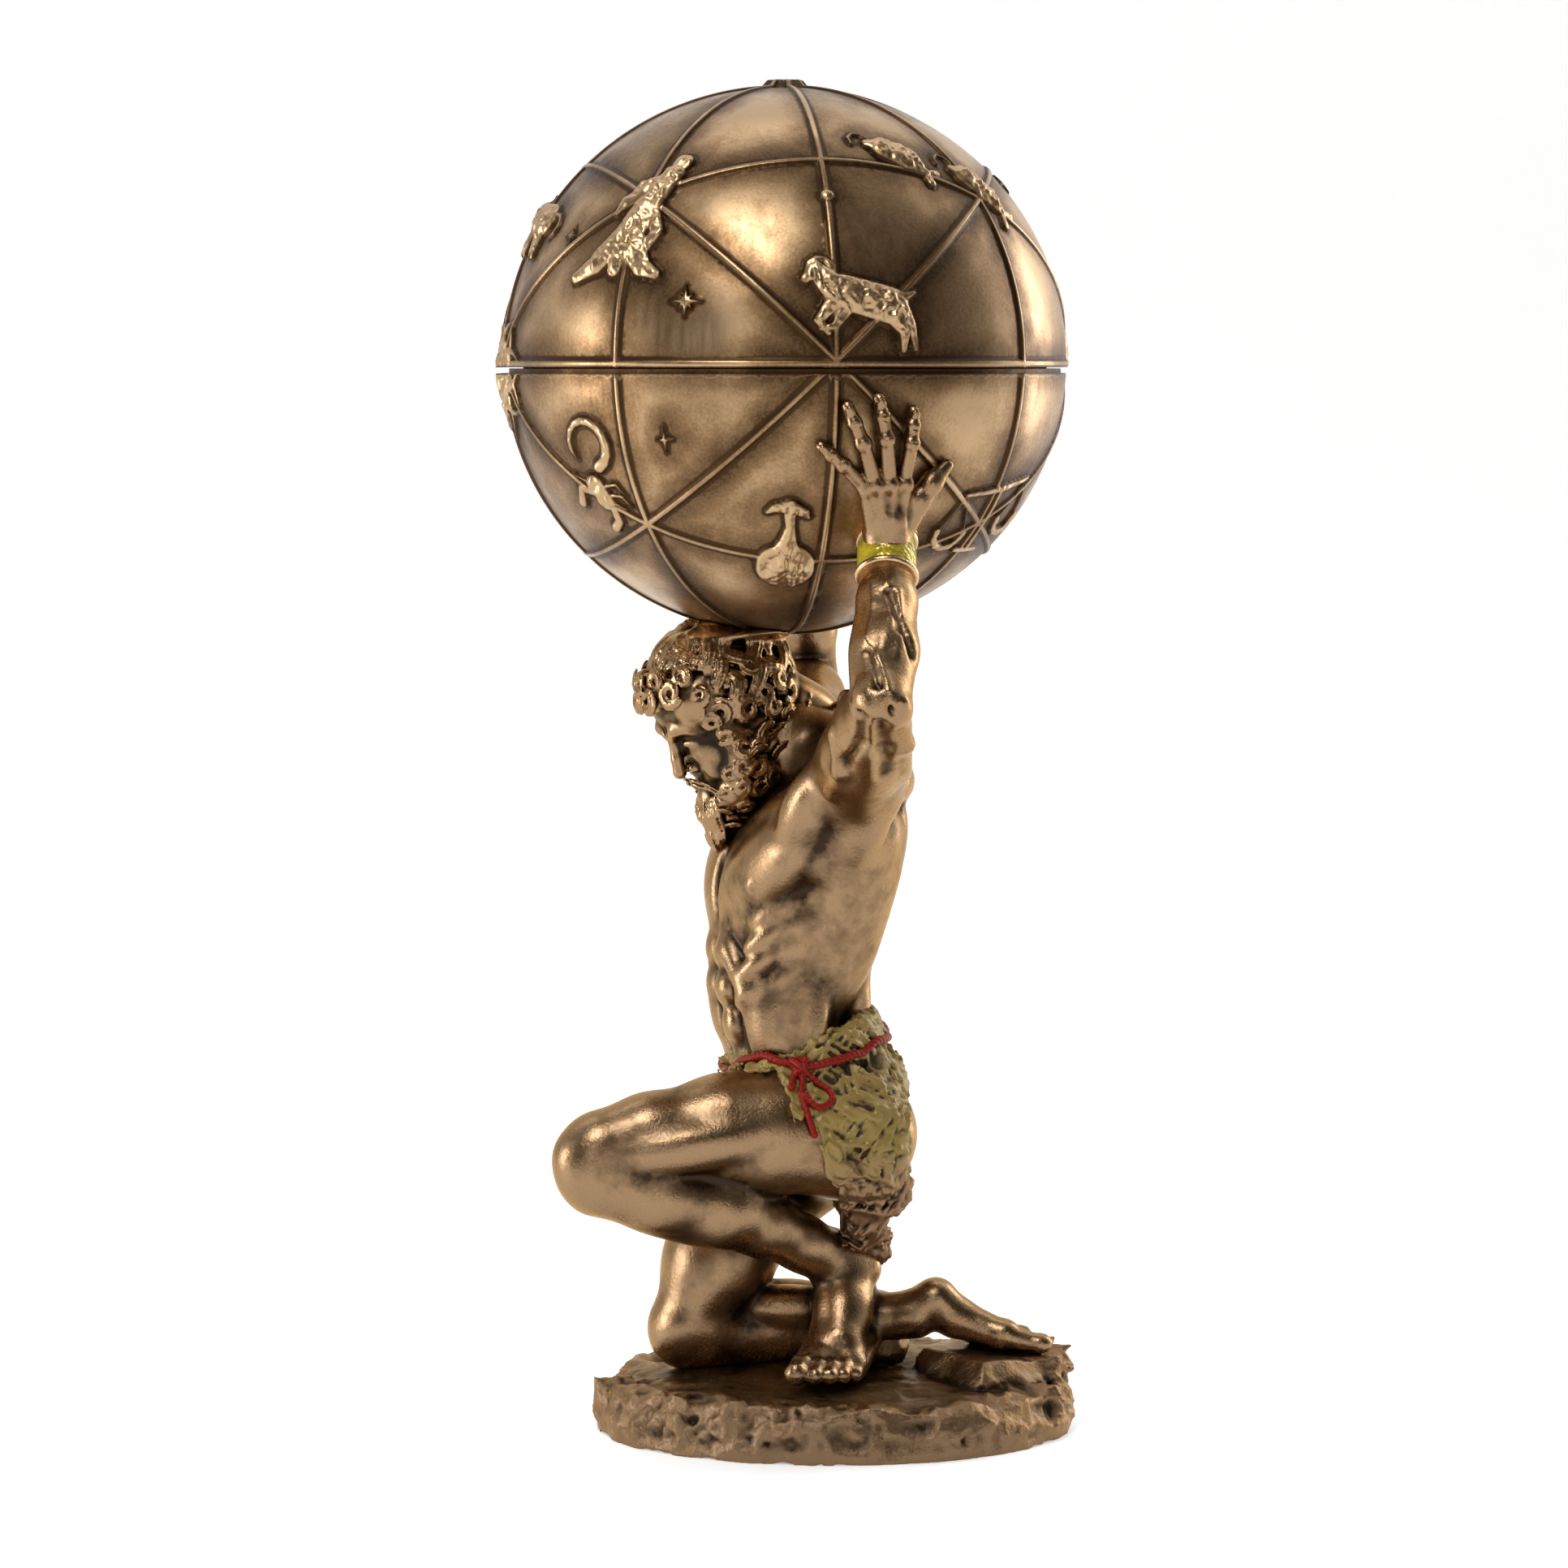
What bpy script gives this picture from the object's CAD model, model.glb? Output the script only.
# A kneeling bearded giant who carries a star globe: a round box cast in bronze, about 30 cm tall.
# Metres, Z up. The figure looks towards -X, its left side is at -Y, where the camera stands.
import math
import bpy
import numpy as np
import openvdb
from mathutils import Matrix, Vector


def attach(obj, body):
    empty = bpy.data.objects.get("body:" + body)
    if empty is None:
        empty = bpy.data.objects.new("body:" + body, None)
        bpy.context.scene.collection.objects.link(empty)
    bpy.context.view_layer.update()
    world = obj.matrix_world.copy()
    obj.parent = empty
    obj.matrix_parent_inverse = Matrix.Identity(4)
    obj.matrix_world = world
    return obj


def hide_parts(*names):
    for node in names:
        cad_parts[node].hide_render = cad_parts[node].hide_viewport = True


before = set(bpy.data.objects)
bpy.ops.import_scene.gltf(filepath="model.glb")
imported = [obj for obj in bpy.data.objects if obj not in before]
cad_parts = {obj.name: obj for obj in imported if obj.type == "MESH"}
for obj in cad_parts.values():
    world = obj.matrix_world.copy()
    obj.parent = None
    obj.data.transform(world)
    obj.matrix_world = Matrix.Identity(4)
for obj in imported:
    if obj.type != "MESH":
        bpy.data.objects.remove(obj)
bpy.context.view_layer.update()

# ---- Camera, light and floor
# A long lens from the figure's left, a little above the middle of the globe, as in the photograph.
LOOK_DOWN = 4.706
scene = bpy.context.scene
camera = bpy.data.objects.new("camera", bpy.data.cameras.new("camera"))
scene.collection.objects.link(camera)
camera.location = (0, -1.147, 0.239)
camera.rotation_euler = (math.radians(90 - LOOK_DOWN), 0, 0)
camera.data.sensor_width = 36
camera.data.lens = 118.94
camera.data.clip_start = 0.05
scene.camera = camera
scene.view_settings.view_transform = "Standard"


def softbox(name, place, aim, width, height, watts, colour=(1, 1, 1)):
    data = bpy.data.lights.new(name, "AREA")
    data.shape = "RECTANGLE"
    data.size = width
    data.size_y = height
    data.energy = watts
    data.color = colour
    lamp = bpy.data.objects.new(name, data)
    scene.collection.objects.link(lamp)
    lamp.location = place
    lamp.rotation_euler = (Vector(aim) - Vector(place)).to_track_quat("-Z", "Y").to_euler()
    return lamp


def colour_ramp(nodes, first, last, *between):
    """A ramp through these places and colours."""
    node = nodes.new("ShaderNodeValToRGB")
    for element, (place, colour) in zip(node.color_ramp.elements, (first, last)):
        element.position = place
        element.color = (*colour, 1)
    for place, colour in between:
        node.color_ramp.elements.new(place).color = (*colour, 1)
    return node


softbox("key", (-0.24, -0.60, 0.98), (0, 0, 0.20), 0.34, 0.46, 5.6)
softbox("front_strip", (-0.30, -1.35, 0.46), (0, 0, 0.20), 0.16, 0.60, 1.3)
softbox("low_left", (-0.90, -0.16, 0.20), (0, 0, 0.14), 0.20, 0.42, 3.4)
softbox("right_edge", (0.80, 0.50, 0.34), (0, 0, 0.16), 0.20, 0.9, 4.5)
softbox("front_fill", (0.42, -1.25, 0.20), (0, 0, 0.10), 0.4, 0.3, 1.0, (1, 0.95, 0.88))
softbox("backdrop_wash", (0, 0.75, 2.2), (0, 1.8, 0.75), 3.6, 0.4, 16)

world = bpy.data.worlds.new("studio")
scene.world = world
world.use_nodes = True
tree = world.node_tree
place = tree.nodes.new("ShaderNodeTexCoord")
split = tree.nodes.new("ShaderNodeSeparateXYZ")
ramp = colour_ramp(tree.nodes, (0.30, (0.045, 0.04, 0.036)), (0.72, (0.92, 0.92, 0.92)))
shift = tree.nodes.new("ShaderNodeMapRange")
shift.inputs["From Min"].default_value = -1
tree.links.new(place.outputs["Generated"], split.inputs[0])
tree.links.new(split.outputs["Y"], shift.inputs["Value"])
tree.links.new(shift.outputs["Result"], ramp.inputs["Fac"])
tree.links.new(ramp.outputs["Color"], tree.nodes["Background"].inputs["Color"])

BEND = 0.9
sweep = [(-3.0, 0.0), (BEND, 0.0)]
sweep += [(BEND + BEND * math.sin(t), BEND - BEND * math.cos(t)) for t in np.linspace(0.1, math.pi / 2, 16)]
sweep += [(2 * BEND, 3.5)]
verts = [(x, y, z) for y, z in sweep for x in (-4.0, 4.0)]
data = bpy.data.meshes.new("floor")
data.from_pydata(verts, [], [(2 * i, 2 * i + 1, 2 * i + 3, 2 * i + 2) for i in range(len(sweep) - 1)])
data.shade_smooth()
floor = bpy.data.objects.new("floor", data)
scene.collection.objects.link(floor)
paper = bpy.data.materials.new("white_paper")
paper.use_nodes = True
sheet = paper.node_tree.nodes["Principled BSDF"].inputs
sheet["Base Color"].default_value = (0.82, 0.82, 0.82, 1)
sheet["Emission Color"].default_value = (1, 1, 1, 1)
sheet["Emission Strength"].default_value = 0.42
sheet["Roughness"].default_value = 0.55
floor.data.materials.append(paper)

# ---- Rock
# A round slab broken off in flats round its edge, with hammered breaks all over, a loose stone
# behind the near foot and raised ground under the toes of the kneeling leg. The modelling clay and
# the bronze that the other pieces are made of come first.
FAR = 12.0
MM = 0.001


def V(x, y, z):
    return np.array((x, y, z), float)


def unit(v):
    v = np.asarray(v, float)
    return v / np.linalg.norm(v)


def mesh_object(name, points, quads):
    """An object of these points in millimetres and these four-sided faces, in the scene and active."""
    data = bpy.data.meshes.new(name)
    data.vertices.add(len(points))
    data.vertices.foreach_set("co", (points * MM).astype(np.float32).ravel())
    data.loops.add(quads.size)
    data.loops.foreach_set("vertex_index", quads.astype(np.int32).ravel())
    data.polygons.add(len(quads))
    data.polygons.foreach_set("loop_start", np.arange(0, quads.size, 4, dtype=np.int32))
    data.update(calc_edges=True)
    return into_scene(bpy.data.objects.new(name, data))


def into_scene(obj):
    scene.collection.objects.link(obj)
    bpy.ops.object.select_all(action="DESELECT")
    obj.select_set(True)
    bpy.context.view_layer.objects.active = obj
    return obj


def modify(obj, kind, **settings):
    """Applies a modifier with these settings."""
    mod = obj.modifiers.new(kind, kind)
    for key, value in settings.items():
        setattr(mod, key, value)
    bpy.ops.object.modifier_apply(modifier=mod.name)


def places(obj):
    """The object's points in millimetres."""
    here = np.empty(len(obj.data.vertices) * 3, np.float32)
    obj.data.vertices.foreach_get("co", here)
    return here.reshape(-1, 3) * 1000


def set_mark(obj, label, values):
    mark = obj.data.attributes.new(label, "FLOAT", "POINT")
    mark.data.foreach_set("value", values.astype(np.float32))


def cell_corners(part):
    """The eight corners of a grid cell, each with its share of a place inside the cell."""
    for corner in np.ndindex(2, 2, 2):
        share = 1
        for step, q in zip(corner, part):
            share = share * (q if step else 1 - q)
        yield corner, share


class Clay:
    """Modelling clay: signed distances in millimetres on a regular grid."""

    def __init__(self, low, high, grain):
        self.low = np.array(low, np.float32)
        self.grain = grain
        self.count = np.ceil((np.array(high) - self.low) / grain).astype(int) + 1
        self.field = np.full(self.count, FAR, np.float32)

    def window(self, low, high):
        first = np.clip(np.floor((low - self.low) / self.grain).astype(int), 0, self.count)
        last = np.clip(np.ceil((high - self.low) / self.grain).astype(int) + 1, 0, self.count)
        part = tuple(slice(a, b) for a, b in zip(first, last))
        x, y, z = (self.low[i] + self.grain * np.arange(first[i], last[i], dtype=np.float32)
                   for i in range(3))
        return part, (x[:, None, None], y[None, :, None], z[None, None, :])

    def grid(self):
        return self.window(self.low - 1, self.low + self.count * self.grain + 1)

    def lay(self, low, high, distance, blend, carve=False):
        pad = blend + 2 * self.grain
        part, points = self.window(np.array(low) - pad, np.array(high) + pad)
        old = self.field[part]
        if old.size == 0:
            return
        new = distance(*points)
        if carve:
            old = -old
        near = np.clip(0.5 + 0.5 * (old - new) / blend, 0, 1)
        mixed = new * near + old * (1 - near) - blend * near * (1 - near)
        self.field[part] = -mixed if carve else mixed

    def limb(self, points, blend=2.0, carve=False):
        for (a, ra), (b, rb) in zip(points, points[1:]):
            a, b = np.asarray(a, float), np.asarray(b, float)
            way = b - a
            length2 = float(way @ way) + 1e-9

            def distance(x, y, z, a=a, way=way, length2=length2, ra=ra, rb=rb):
                px, py, pz = x - a[0], y - a[1], z - a[2]
                t = np.clip((px * way[0] + py * way[1] + pz * way[2]) / length2, 0, 1)
                off = (px - t * way[0]) ** 2 + (py - t * way[1]) ** 2 + (pz - t * way[2]) ** 2
                return np.sqrt(off) - (ra + (rb - ra) * t)

            r = max(ra, rb)
            self.lay(np.minimum(a, b) - r, np.maximum(a, b) + r, distance, blend, carve)

    def oval(self, centre, axes, radii, blend=2.0, carve=False):
        axes, radii = np.asarray(axes, float), np.asarray(radii, float)
        reach = np.sqrt(((axes * radii[:, None]) ** 2).sum(0))

        def distance(x, y, z):
            px, py, pz = x - centre[0], y - centre[1], z - centre[2]
            near = 0
            slope = 0
            for axis, r in zip(axes, radii):
                q = px * axis[0] + py * axis[1] + pz * axis[2]
                near = near + (q / r) ** 2
                slope = slope + (q / r ** 2) ** 2
            near = np.sqrt(near)
            return near * (near - 1) / np.maximum(np.sqrt(slope), 1e-4)

        self.lay(centre - reach, centre + reach, distance, blend, carve)

    def muscle(self, a, b, wide, thick, facing, blend=2.5, carve=False, over=1.0):
        a, b = np.asarray(a, float), np.asarray(b, float)
        along = unit(b - a)
        across = unit(np.cross(facing, along))
        axes = np.array([along, across, np.cross(along, across)])
        self.oval((a + b) / 2, axes, (np.linalg.norm(b - a) / 2 * over, wide, thick), blend, carve)

    def ball(self, centre, r, blend=1.5, carve=False):
        self.oval(np.asarray(centre, float), np.eye(3), (r, r, r) if np.isscalar(r) else r, blend, carve)

    def at(self, volume, points):
        """The volume's value at each point, by trilinear blending."""
        q = (points - self.low) / self.grain
        base = np.clip(np.floor(q).astype(int), 0, np.array(volume.shape) - 2)
        f = np.clip(q - base, 0, 1)
        total = 0
        for (dx, dy, dz), share in cell_corners(f.T):
            total = total + share * volume[base[:, 0] + dx, base[:, 1] + dy, base[:, 2] + dz]
        return total

    def crowding(self, reach):
        """How much of the space within reach is filled: a half on a flat, more in a hollow."""
        full = (self.field < 0).astype(np.float32)
        n = max(1, int(round(reach / self.grain)))
        for axis in range(3):
            for _ in range(2):
                pad = [(0, 0)] * 3
                pad[axis] = (n + 1, n)
                total = np.cumsum(np.pad(full, pad, mode="edge"), axis=axis, dtype=np.float32)
                upper = [slice(None)] * 3
                lower = [slice(None)] * 3
                upper[axis] = slice(2 * n + 1, None)
                lower[axis] = slice(0, -(2 * n + 1))
                full = (total[tuple(upper)] - total[tuple(lower)]) / (2 * n + 1)
        return full

    def piece(self, name, most, soften=0):
        """The clay's skin as an object of at most so many triangles, with its hollows marked."""
        volume = openvdb.FloatGrid(FAR)
        volume.copyFromArray(self.field)
        volume.transform = openvdb.createLinearTransform(voxelSize=1.0)
        points, quads = volume.convertToQuads(0.0)
        obj = mesh_object(name, points * self.grain + self.low, quads)
        if soften:
            modify(obj, "SMOOTH", iterations=soften)
        if 2 * len(quads) > most:
            modify(obj, "DECIMATE", ratio=most / (2 * len(quads)))
        here = places(obj)
        for label, reach in (("hollow", 1.0), ("deep", 3.6)):
            set_mark(obj, label, self.at(self.crowding(reach), here))
        obj.data.shade_smooth()
        return obj


LATTICE = 24


def noise(x, y, z, seed):
    """Smooth noise from -1 to 1, one bump to each unit."""
    lattice = np.random.default_rng(seed).uniform(-1, 1, (LATTICE,) * 3).astype(np.float32)
    x, y, z = np.broadcast_arrays(x, y, z)
    whole = [np.floor(q).astype(np.int32) for q in (x, y, z)]
    part = [q - w for q, w in zip((x, y, z), whole)]
    part = [p * p * (3 - 2 * p) for p in part]
    total = 0
    for corner, share in cell_corners(part):
        total = total + share * lattice[tuple((w + step) % LATTICE for w, step in zip(whole, corner))]
    return total


def cloud_node(nodes, link, vector, scale, detail, rough):
    node = nodes.new("ShaderNodeTexNoise")
    for label, value in (("Scale", scale), ("Detail", detail), ("Roughness", rough)):
        node.inputs[label].default_value = value
    link(vector, node.inputs["Vector"])
    return node.outputs["Fac"]


def patina_group():
    """Masks of the cast bronze: Dark where the patina stays, Grain for roughness, Normal with its bump."""
    group = bpy.data.node_groups.new("patina", "ShaderNodeTree")
    for name, default in (("Hollow", 0.5), ("Deep", 0.5), ("Mottle", 0.5), ("Bump", 0.5)):
        group.interface.new_socket(name, in_out="INPUT",
                                   socket_type="NodeSocketFloat").default_value = default
    for name, kind in (("Dark", "NodeSocketFloat"), ("Grain", "NodeSocketFloat"),
                       ("Normal", "NodeSocketVector")):
        group.interface.new_socket(name, in_out="OUTPUT", socket_type=kind)
    n, link = group.nodes, group.links.new
    given = n.new("NodeGroupInput")
    result = n.new("NodeGroupOutput")
    place = n.new("ShaderNodeTexCoord")

    def sum_of(a, b, by, start):
        """b + by * (a - start)"""
        node = n.new("ShaderNodeMath")
        node.operation = "SUBTRACT"
        link(a, node.inputs[0])
        node.inputs[1].default_value = start
        times = n.new("ShaderNodeMath")
        times.operation = "MULTIPLY_ADD"
        link(node.outputs[0], times.inputs[0])
        for value, socket in ((by, times.inputs[1]), (b, times.inputs[2])):
            if isinstance(value, float):
                socket.default_value = value
            else:
                link(value, socket)
        return times.outputs[0]

    broad, patch, fine = (cloud_node(n, link, place.outputs["Object"], *sizes)
                          for sizes in ((75, 5, 0.6), (190, 8, 0.7), (1500, 3, 0.6)))
    dark = sum_of(given.outputs["Hollow"], 0.40, 4.2, 0.5)
    dark = sum_of(given.outputs["Deep"], dark, 3.4, 0.5)
    dark = sum_of(broad, dark, given.outputs["Mottle"], 0.5)
    dark = sum_of(patch, dark, given.outputs["Mottle"], 0.5)
    hold = n.new("ShaderNodeClamp")
    link(dark, hold.inputs["Value"])
    link(hold.outputs[0], result.inputs["Dark"])
    grain = sum_of(fine, 0.5, 0.6, 0.5)
    link(grain, result.inputs["Grain"])
    height = sum_of(patch, fine, 2.5, 0.5)
    bump = n.new("ShaderNodeBump")
    bump.inputs["Distance"].default_value = 0.00022
    link(given.outputs["Bump"], bump.inputs["Strength"])
    link(height, bump.inputs["Height"])
    link(bump.outputs[0], result.inputs["Normal"])
    return group


PATINA = patina_group()


def bronze(name, worn, dark, rough_worn, rough_dark, mottle, bump, slope=1.0):
    """Bronze rubbed bright on the high places; a slope under one darkens the hollows sooner."""
    mat = bpy.data.materials.new(name)
    mat.use_nodes = True
    n, link = mat.node_tree.nodes, mat.node_tree.links.new
    shader = n["Principled BSDF"]
    patina = n.new("ShaderNodeGroup")
    patina.node_tree = PATINA
    patina.inputs["Mottle"].default_value = mottle
    patina.inputs["Bump"].default_value = bump
    for label, socket in (("hollow", "Hollow"), ("deep", "Deep")):
        mark = n.new("ShaderNodeAttribute")
        mark.attribute_name = label
        link(mark.outputs["Fac"], patina.inputs[socket])
    half = [0.62 * a + 0.30 * b for a, b in zip(worn, dark)]
    tint = colour_ramp(n, (0.0, worn), (slope, dark), (0.45 * slope, half))
    link(patina.outputs["Dark"], tint.inputs["Fac"])
    link(tint.outputs["Color"], shader.inputs["Base Color"])
    rough = n.new("ShaderNodeMapRange")
    rough.inputs["To Min"].default_value = rough_worn
    rough.inputs["To Max"].default_value = rough_dark
    link(patina.outputs["Dark"], rough.inputs["Value"])
    more = n.new("ShaderNodeMath")
    more.operation = "MULTIPLY"
    link(rough.outputs["Result"], more.inputs[0])
    spread = n.new("ShaderNodeMapRange")
    spread.inputs["To Min"].default_value = 0.8
    spread.inputs["To Max"].default_value = 1.2
    link(patina.outputs["Grain"], spread.inputs["Value"])
    link(spread.outputs["Result"], more.inputs[1])
    link(more.outputs[0], shader.inputs["Roughness"])
    metal = n.new("ShaderNodeMapRange")
    metal.inputs["To Min"].default_value = 1.0
    metal.inputs["To Max"].default_value = 0.95
    link(patina.outputs["Dark"], metal.inputs["Value"])
    link(metal.outputs["Result"], shader.inputs["Metallic"])
    link(patina.outputs["Normal"], shader.inputs["Normal"])
    shader.inputs["Coat Weight"].default_value = 0.14
    shader.inputs["Specular Tint"].default_value = (0.95, 0.74, 0.50, 1)
    shader.inputs["Coat Roughness"].default_value = 0.16
    return mat


def beyond(edge, out):
    """How far the grid's points lie in front of the plane through edge that faces out."""
    out = unit(out)
    return (x - edge[0]) * out[0] + (y - edge[1]) * out[1] + (z - edge[2]) * out[2]


GROUND = 14.0
clay = Clay((-46, -46, -3), (68, 46, 34), 0.62)
part, (x, y, z) = clay.grid()
wobble = 0.8 * noise(x / 8, y / 8, z / 8, 1)
ring = np.sqrt(((x - 11) / 53.6) ** 2 + (y / 43.0) ** 2)
slab = np.maximum((ring - 0.985) * 46, -z)
cuts = [((-0.07, 0, 1), (11, 0, GROUND + 0.6)), ((-0.03, 0.06, 1), (0, 4, GROUND + 0.4)),
        ((0.03, -0.05, 1), (-18, -4, GROUND + 0.2)), ((0.02, -0.14, 1), (0, -31, GROUND - 0.4)),
        ((0.12, 0.08, 1), (52, 0, GROUND + 3.2)), ((-0.10, -0.06, 1), (-36, 0, GROUND - 0.6))]
breaks = ((-176, 4, 0), (-158, 12, 0.6), (-140, 24, 0.4), (-123, 8, 1.2), (-107, 22, 0.4), (-93, 34, 0),
          (-79, 10, 1.6), (-64, 26, 0.6), (-48, 38, 0), (-30, 10, 0.8), (-12, 4, 0), (6, 14, 0.6),
          (26, 30, 0), (48, 18, 1.0), (72, 34, 0),
          (95, 16, 1.4), (118, 32, 0), (140, 10, 0.8), (163, 20, 0.2))
for degrees, tilt, inset in breaks:
    t, k = math.radians(degrees), math.radians(tilt)
    edge = (11 + (52.6 - inset) * math.cos(t), (42.4 - inset) * math.sin(t), GROUND * 0.55)
    cuts.append(((math.cos(t) * math.cos(k) * 0.8, math.sin(t) * math.cos(k), math.sin(k)), edge))
for out, edge in cuts:
    slab = np.maximum(slab, beyond(edge, out) + 0.4 * wobble)
block = (np.sqrt(((x - 46) / 17) ** 2 + ((y - 3) / 22) ** 2) - 1) * 11
for out, edge in (((0.05, -0.02, 1), (46, 3, GROUND + 3.4)), ((0.5, -0.7, 0.5), (52, -12, GROUND + 1)),
                  ((-0.6, -0.5, 0.6), (35, -8, GROUND + 0.6)), ((-0.7, 0.4, 0.5), (34, 10, GROUND + 0.8))):
    block = np.maximum(block, beyond(edge, out))
slab = np.minimum(slab, block)
# Broken faces: hollows that meet in creases, in three sizes, with grit in patches.
side = np.clip((ring - 0.62) / 0.28, 0.30, 1) * np.clip(z / 3.5, 0.25, 1)
chips = 2.6 * (0.34 - np.abs(noise(x / 9.5, y / 9.5, z / 9.5, 2))) + 1.3 * (0.34
        - np.abs(noise(x / 3.9, y / 3.9, z / 3.9, 4)))
patch = np.clip(0.5 + 2.2 * noise(x / 9, y / 9, z / 9, 5), 0.1, 1)
chips += (0.55 * noise(x / 1.5, y / 1.5, z / 1.1, 3) + 0.30 * noise(x / 0.9, y / 0.9, z / 0.9, 6)) * patch
clay.field[part] = np.maximum(slab - chips * side, -z)
del chips, side, slab, ring, wobble, patch, block
stone = Clay((8, -8, 8), (34, 22, 34), 0.62)
part, (x, y, z) = stone.grid()
d = (np.sqrt(((x - 21) / 7.5) ** 2 + ((y - 7) / 9) ** 2 + ((z - 20) / 10) ** 2) - 1) * 7.5
for out, edge in (((1, -0.4, 0.3), (26.4, 3, 20)), ((0.5, -0.9, 0.2), (23, 0, 20)),
                  ((0.4, -0.2, 1), (22, 4, 28)),
                  ((-0.4, -1, 0.1), (16, -1, 20)), ((0.9, -0.9, -0.1), (25, 0, 18))):
    d = np.maximum(d, beyond(edge, out))
stone.field[part] = d - 0.35 * noise(x / 2.4, y / 2.4, z / 2.4, 8)
first = np.round((stone.low - clay.low) / clay.grain).astype(int)
into = tuple(slice(a, min(a + n, m)) for a, n, m in zip(first, stone.field.shape, clay.field.shape))
same = tuple(slice(0, s.stop - s.start) for s in into)
clay.field[into] = np.minimum(clay.field[into], stone.field[same])
rock = clay.piece("rock", 90000)
rock.data.materials.append(bronze("rock_bronze", (0.215, 0.134, 0.073), (0.022, 0.013, 0.007), 0.30, 0.50,
                                  2.2, 0.9))
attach(rock, "root")
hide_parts("figure_and_rock")

# ---- Figure
# The naked giant, its torso turned a little to its left, near knee lifted and far knee on the
# rock, both arms raised to the globe. Its hands and head are pieces of their own.
GLOBE = V(0.2, 0.0, 238.3)
WIDE, HIGH = 62.0, 59.8
TURN = math.radians(12)
TF = V(-math.cos(TURN), -math.sin(TURN), 0)
TL = V(math.sin(TURN), -math.cos(TURN), 0)
TU = V(0, 0, 1)
SPINE = ((60, 11), (68, 9), (80, 4), (91.5, 1), (100, -0.4), (107, 0.2), (120, 3.2), (130, 5), (138, 7.5),
         (150, 12))
UPPER_ARM, FOREARM = 49.2, 38.5


def T(f, l, z):
    return V(np.interp(z, *zip(*SPINE)), 0, z) + TF * f + TL * l


def shoulder(s):
    return V(17.0, -30.0, 148.0) if s == 1 else V(8.0, 30.0, 148.0)


def on_globe(u, v, lift, s):
    r = math.sqrt(max(0.02, 1 - (u / WIDE) ** 2 - (v / HIGH) ** 2))
    return GLOBE + V(u, -s * WIDE * r, v) + unit(V(u / WIDE ** 2, -s * r / WIDE, v / HIGH ** 2)) * lift


def arm_joints(s):
    shift = 0.8 if s == 1 else -16.6
    sh = shoulder(s)
    wr = on_globe(18.6 + shift, -37.6, 7.0, s)
    way = wr - sh
    reach = np.linalg.norm(way)
    run = (UPPER_ARM ** 2 - FOREARM ** 2 + reach ** 2) / (2 * reach)
    bow = math.sqrt(max(16.0, UPPER_ARM ** 2 - run ** 2))
    side = V(0.0, -s, -0.15)
    side = unit(side - way * (side @ way) / reach ** 2)
    return shift, sh, wr, sh + way / reach * run + side * bow


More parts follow.
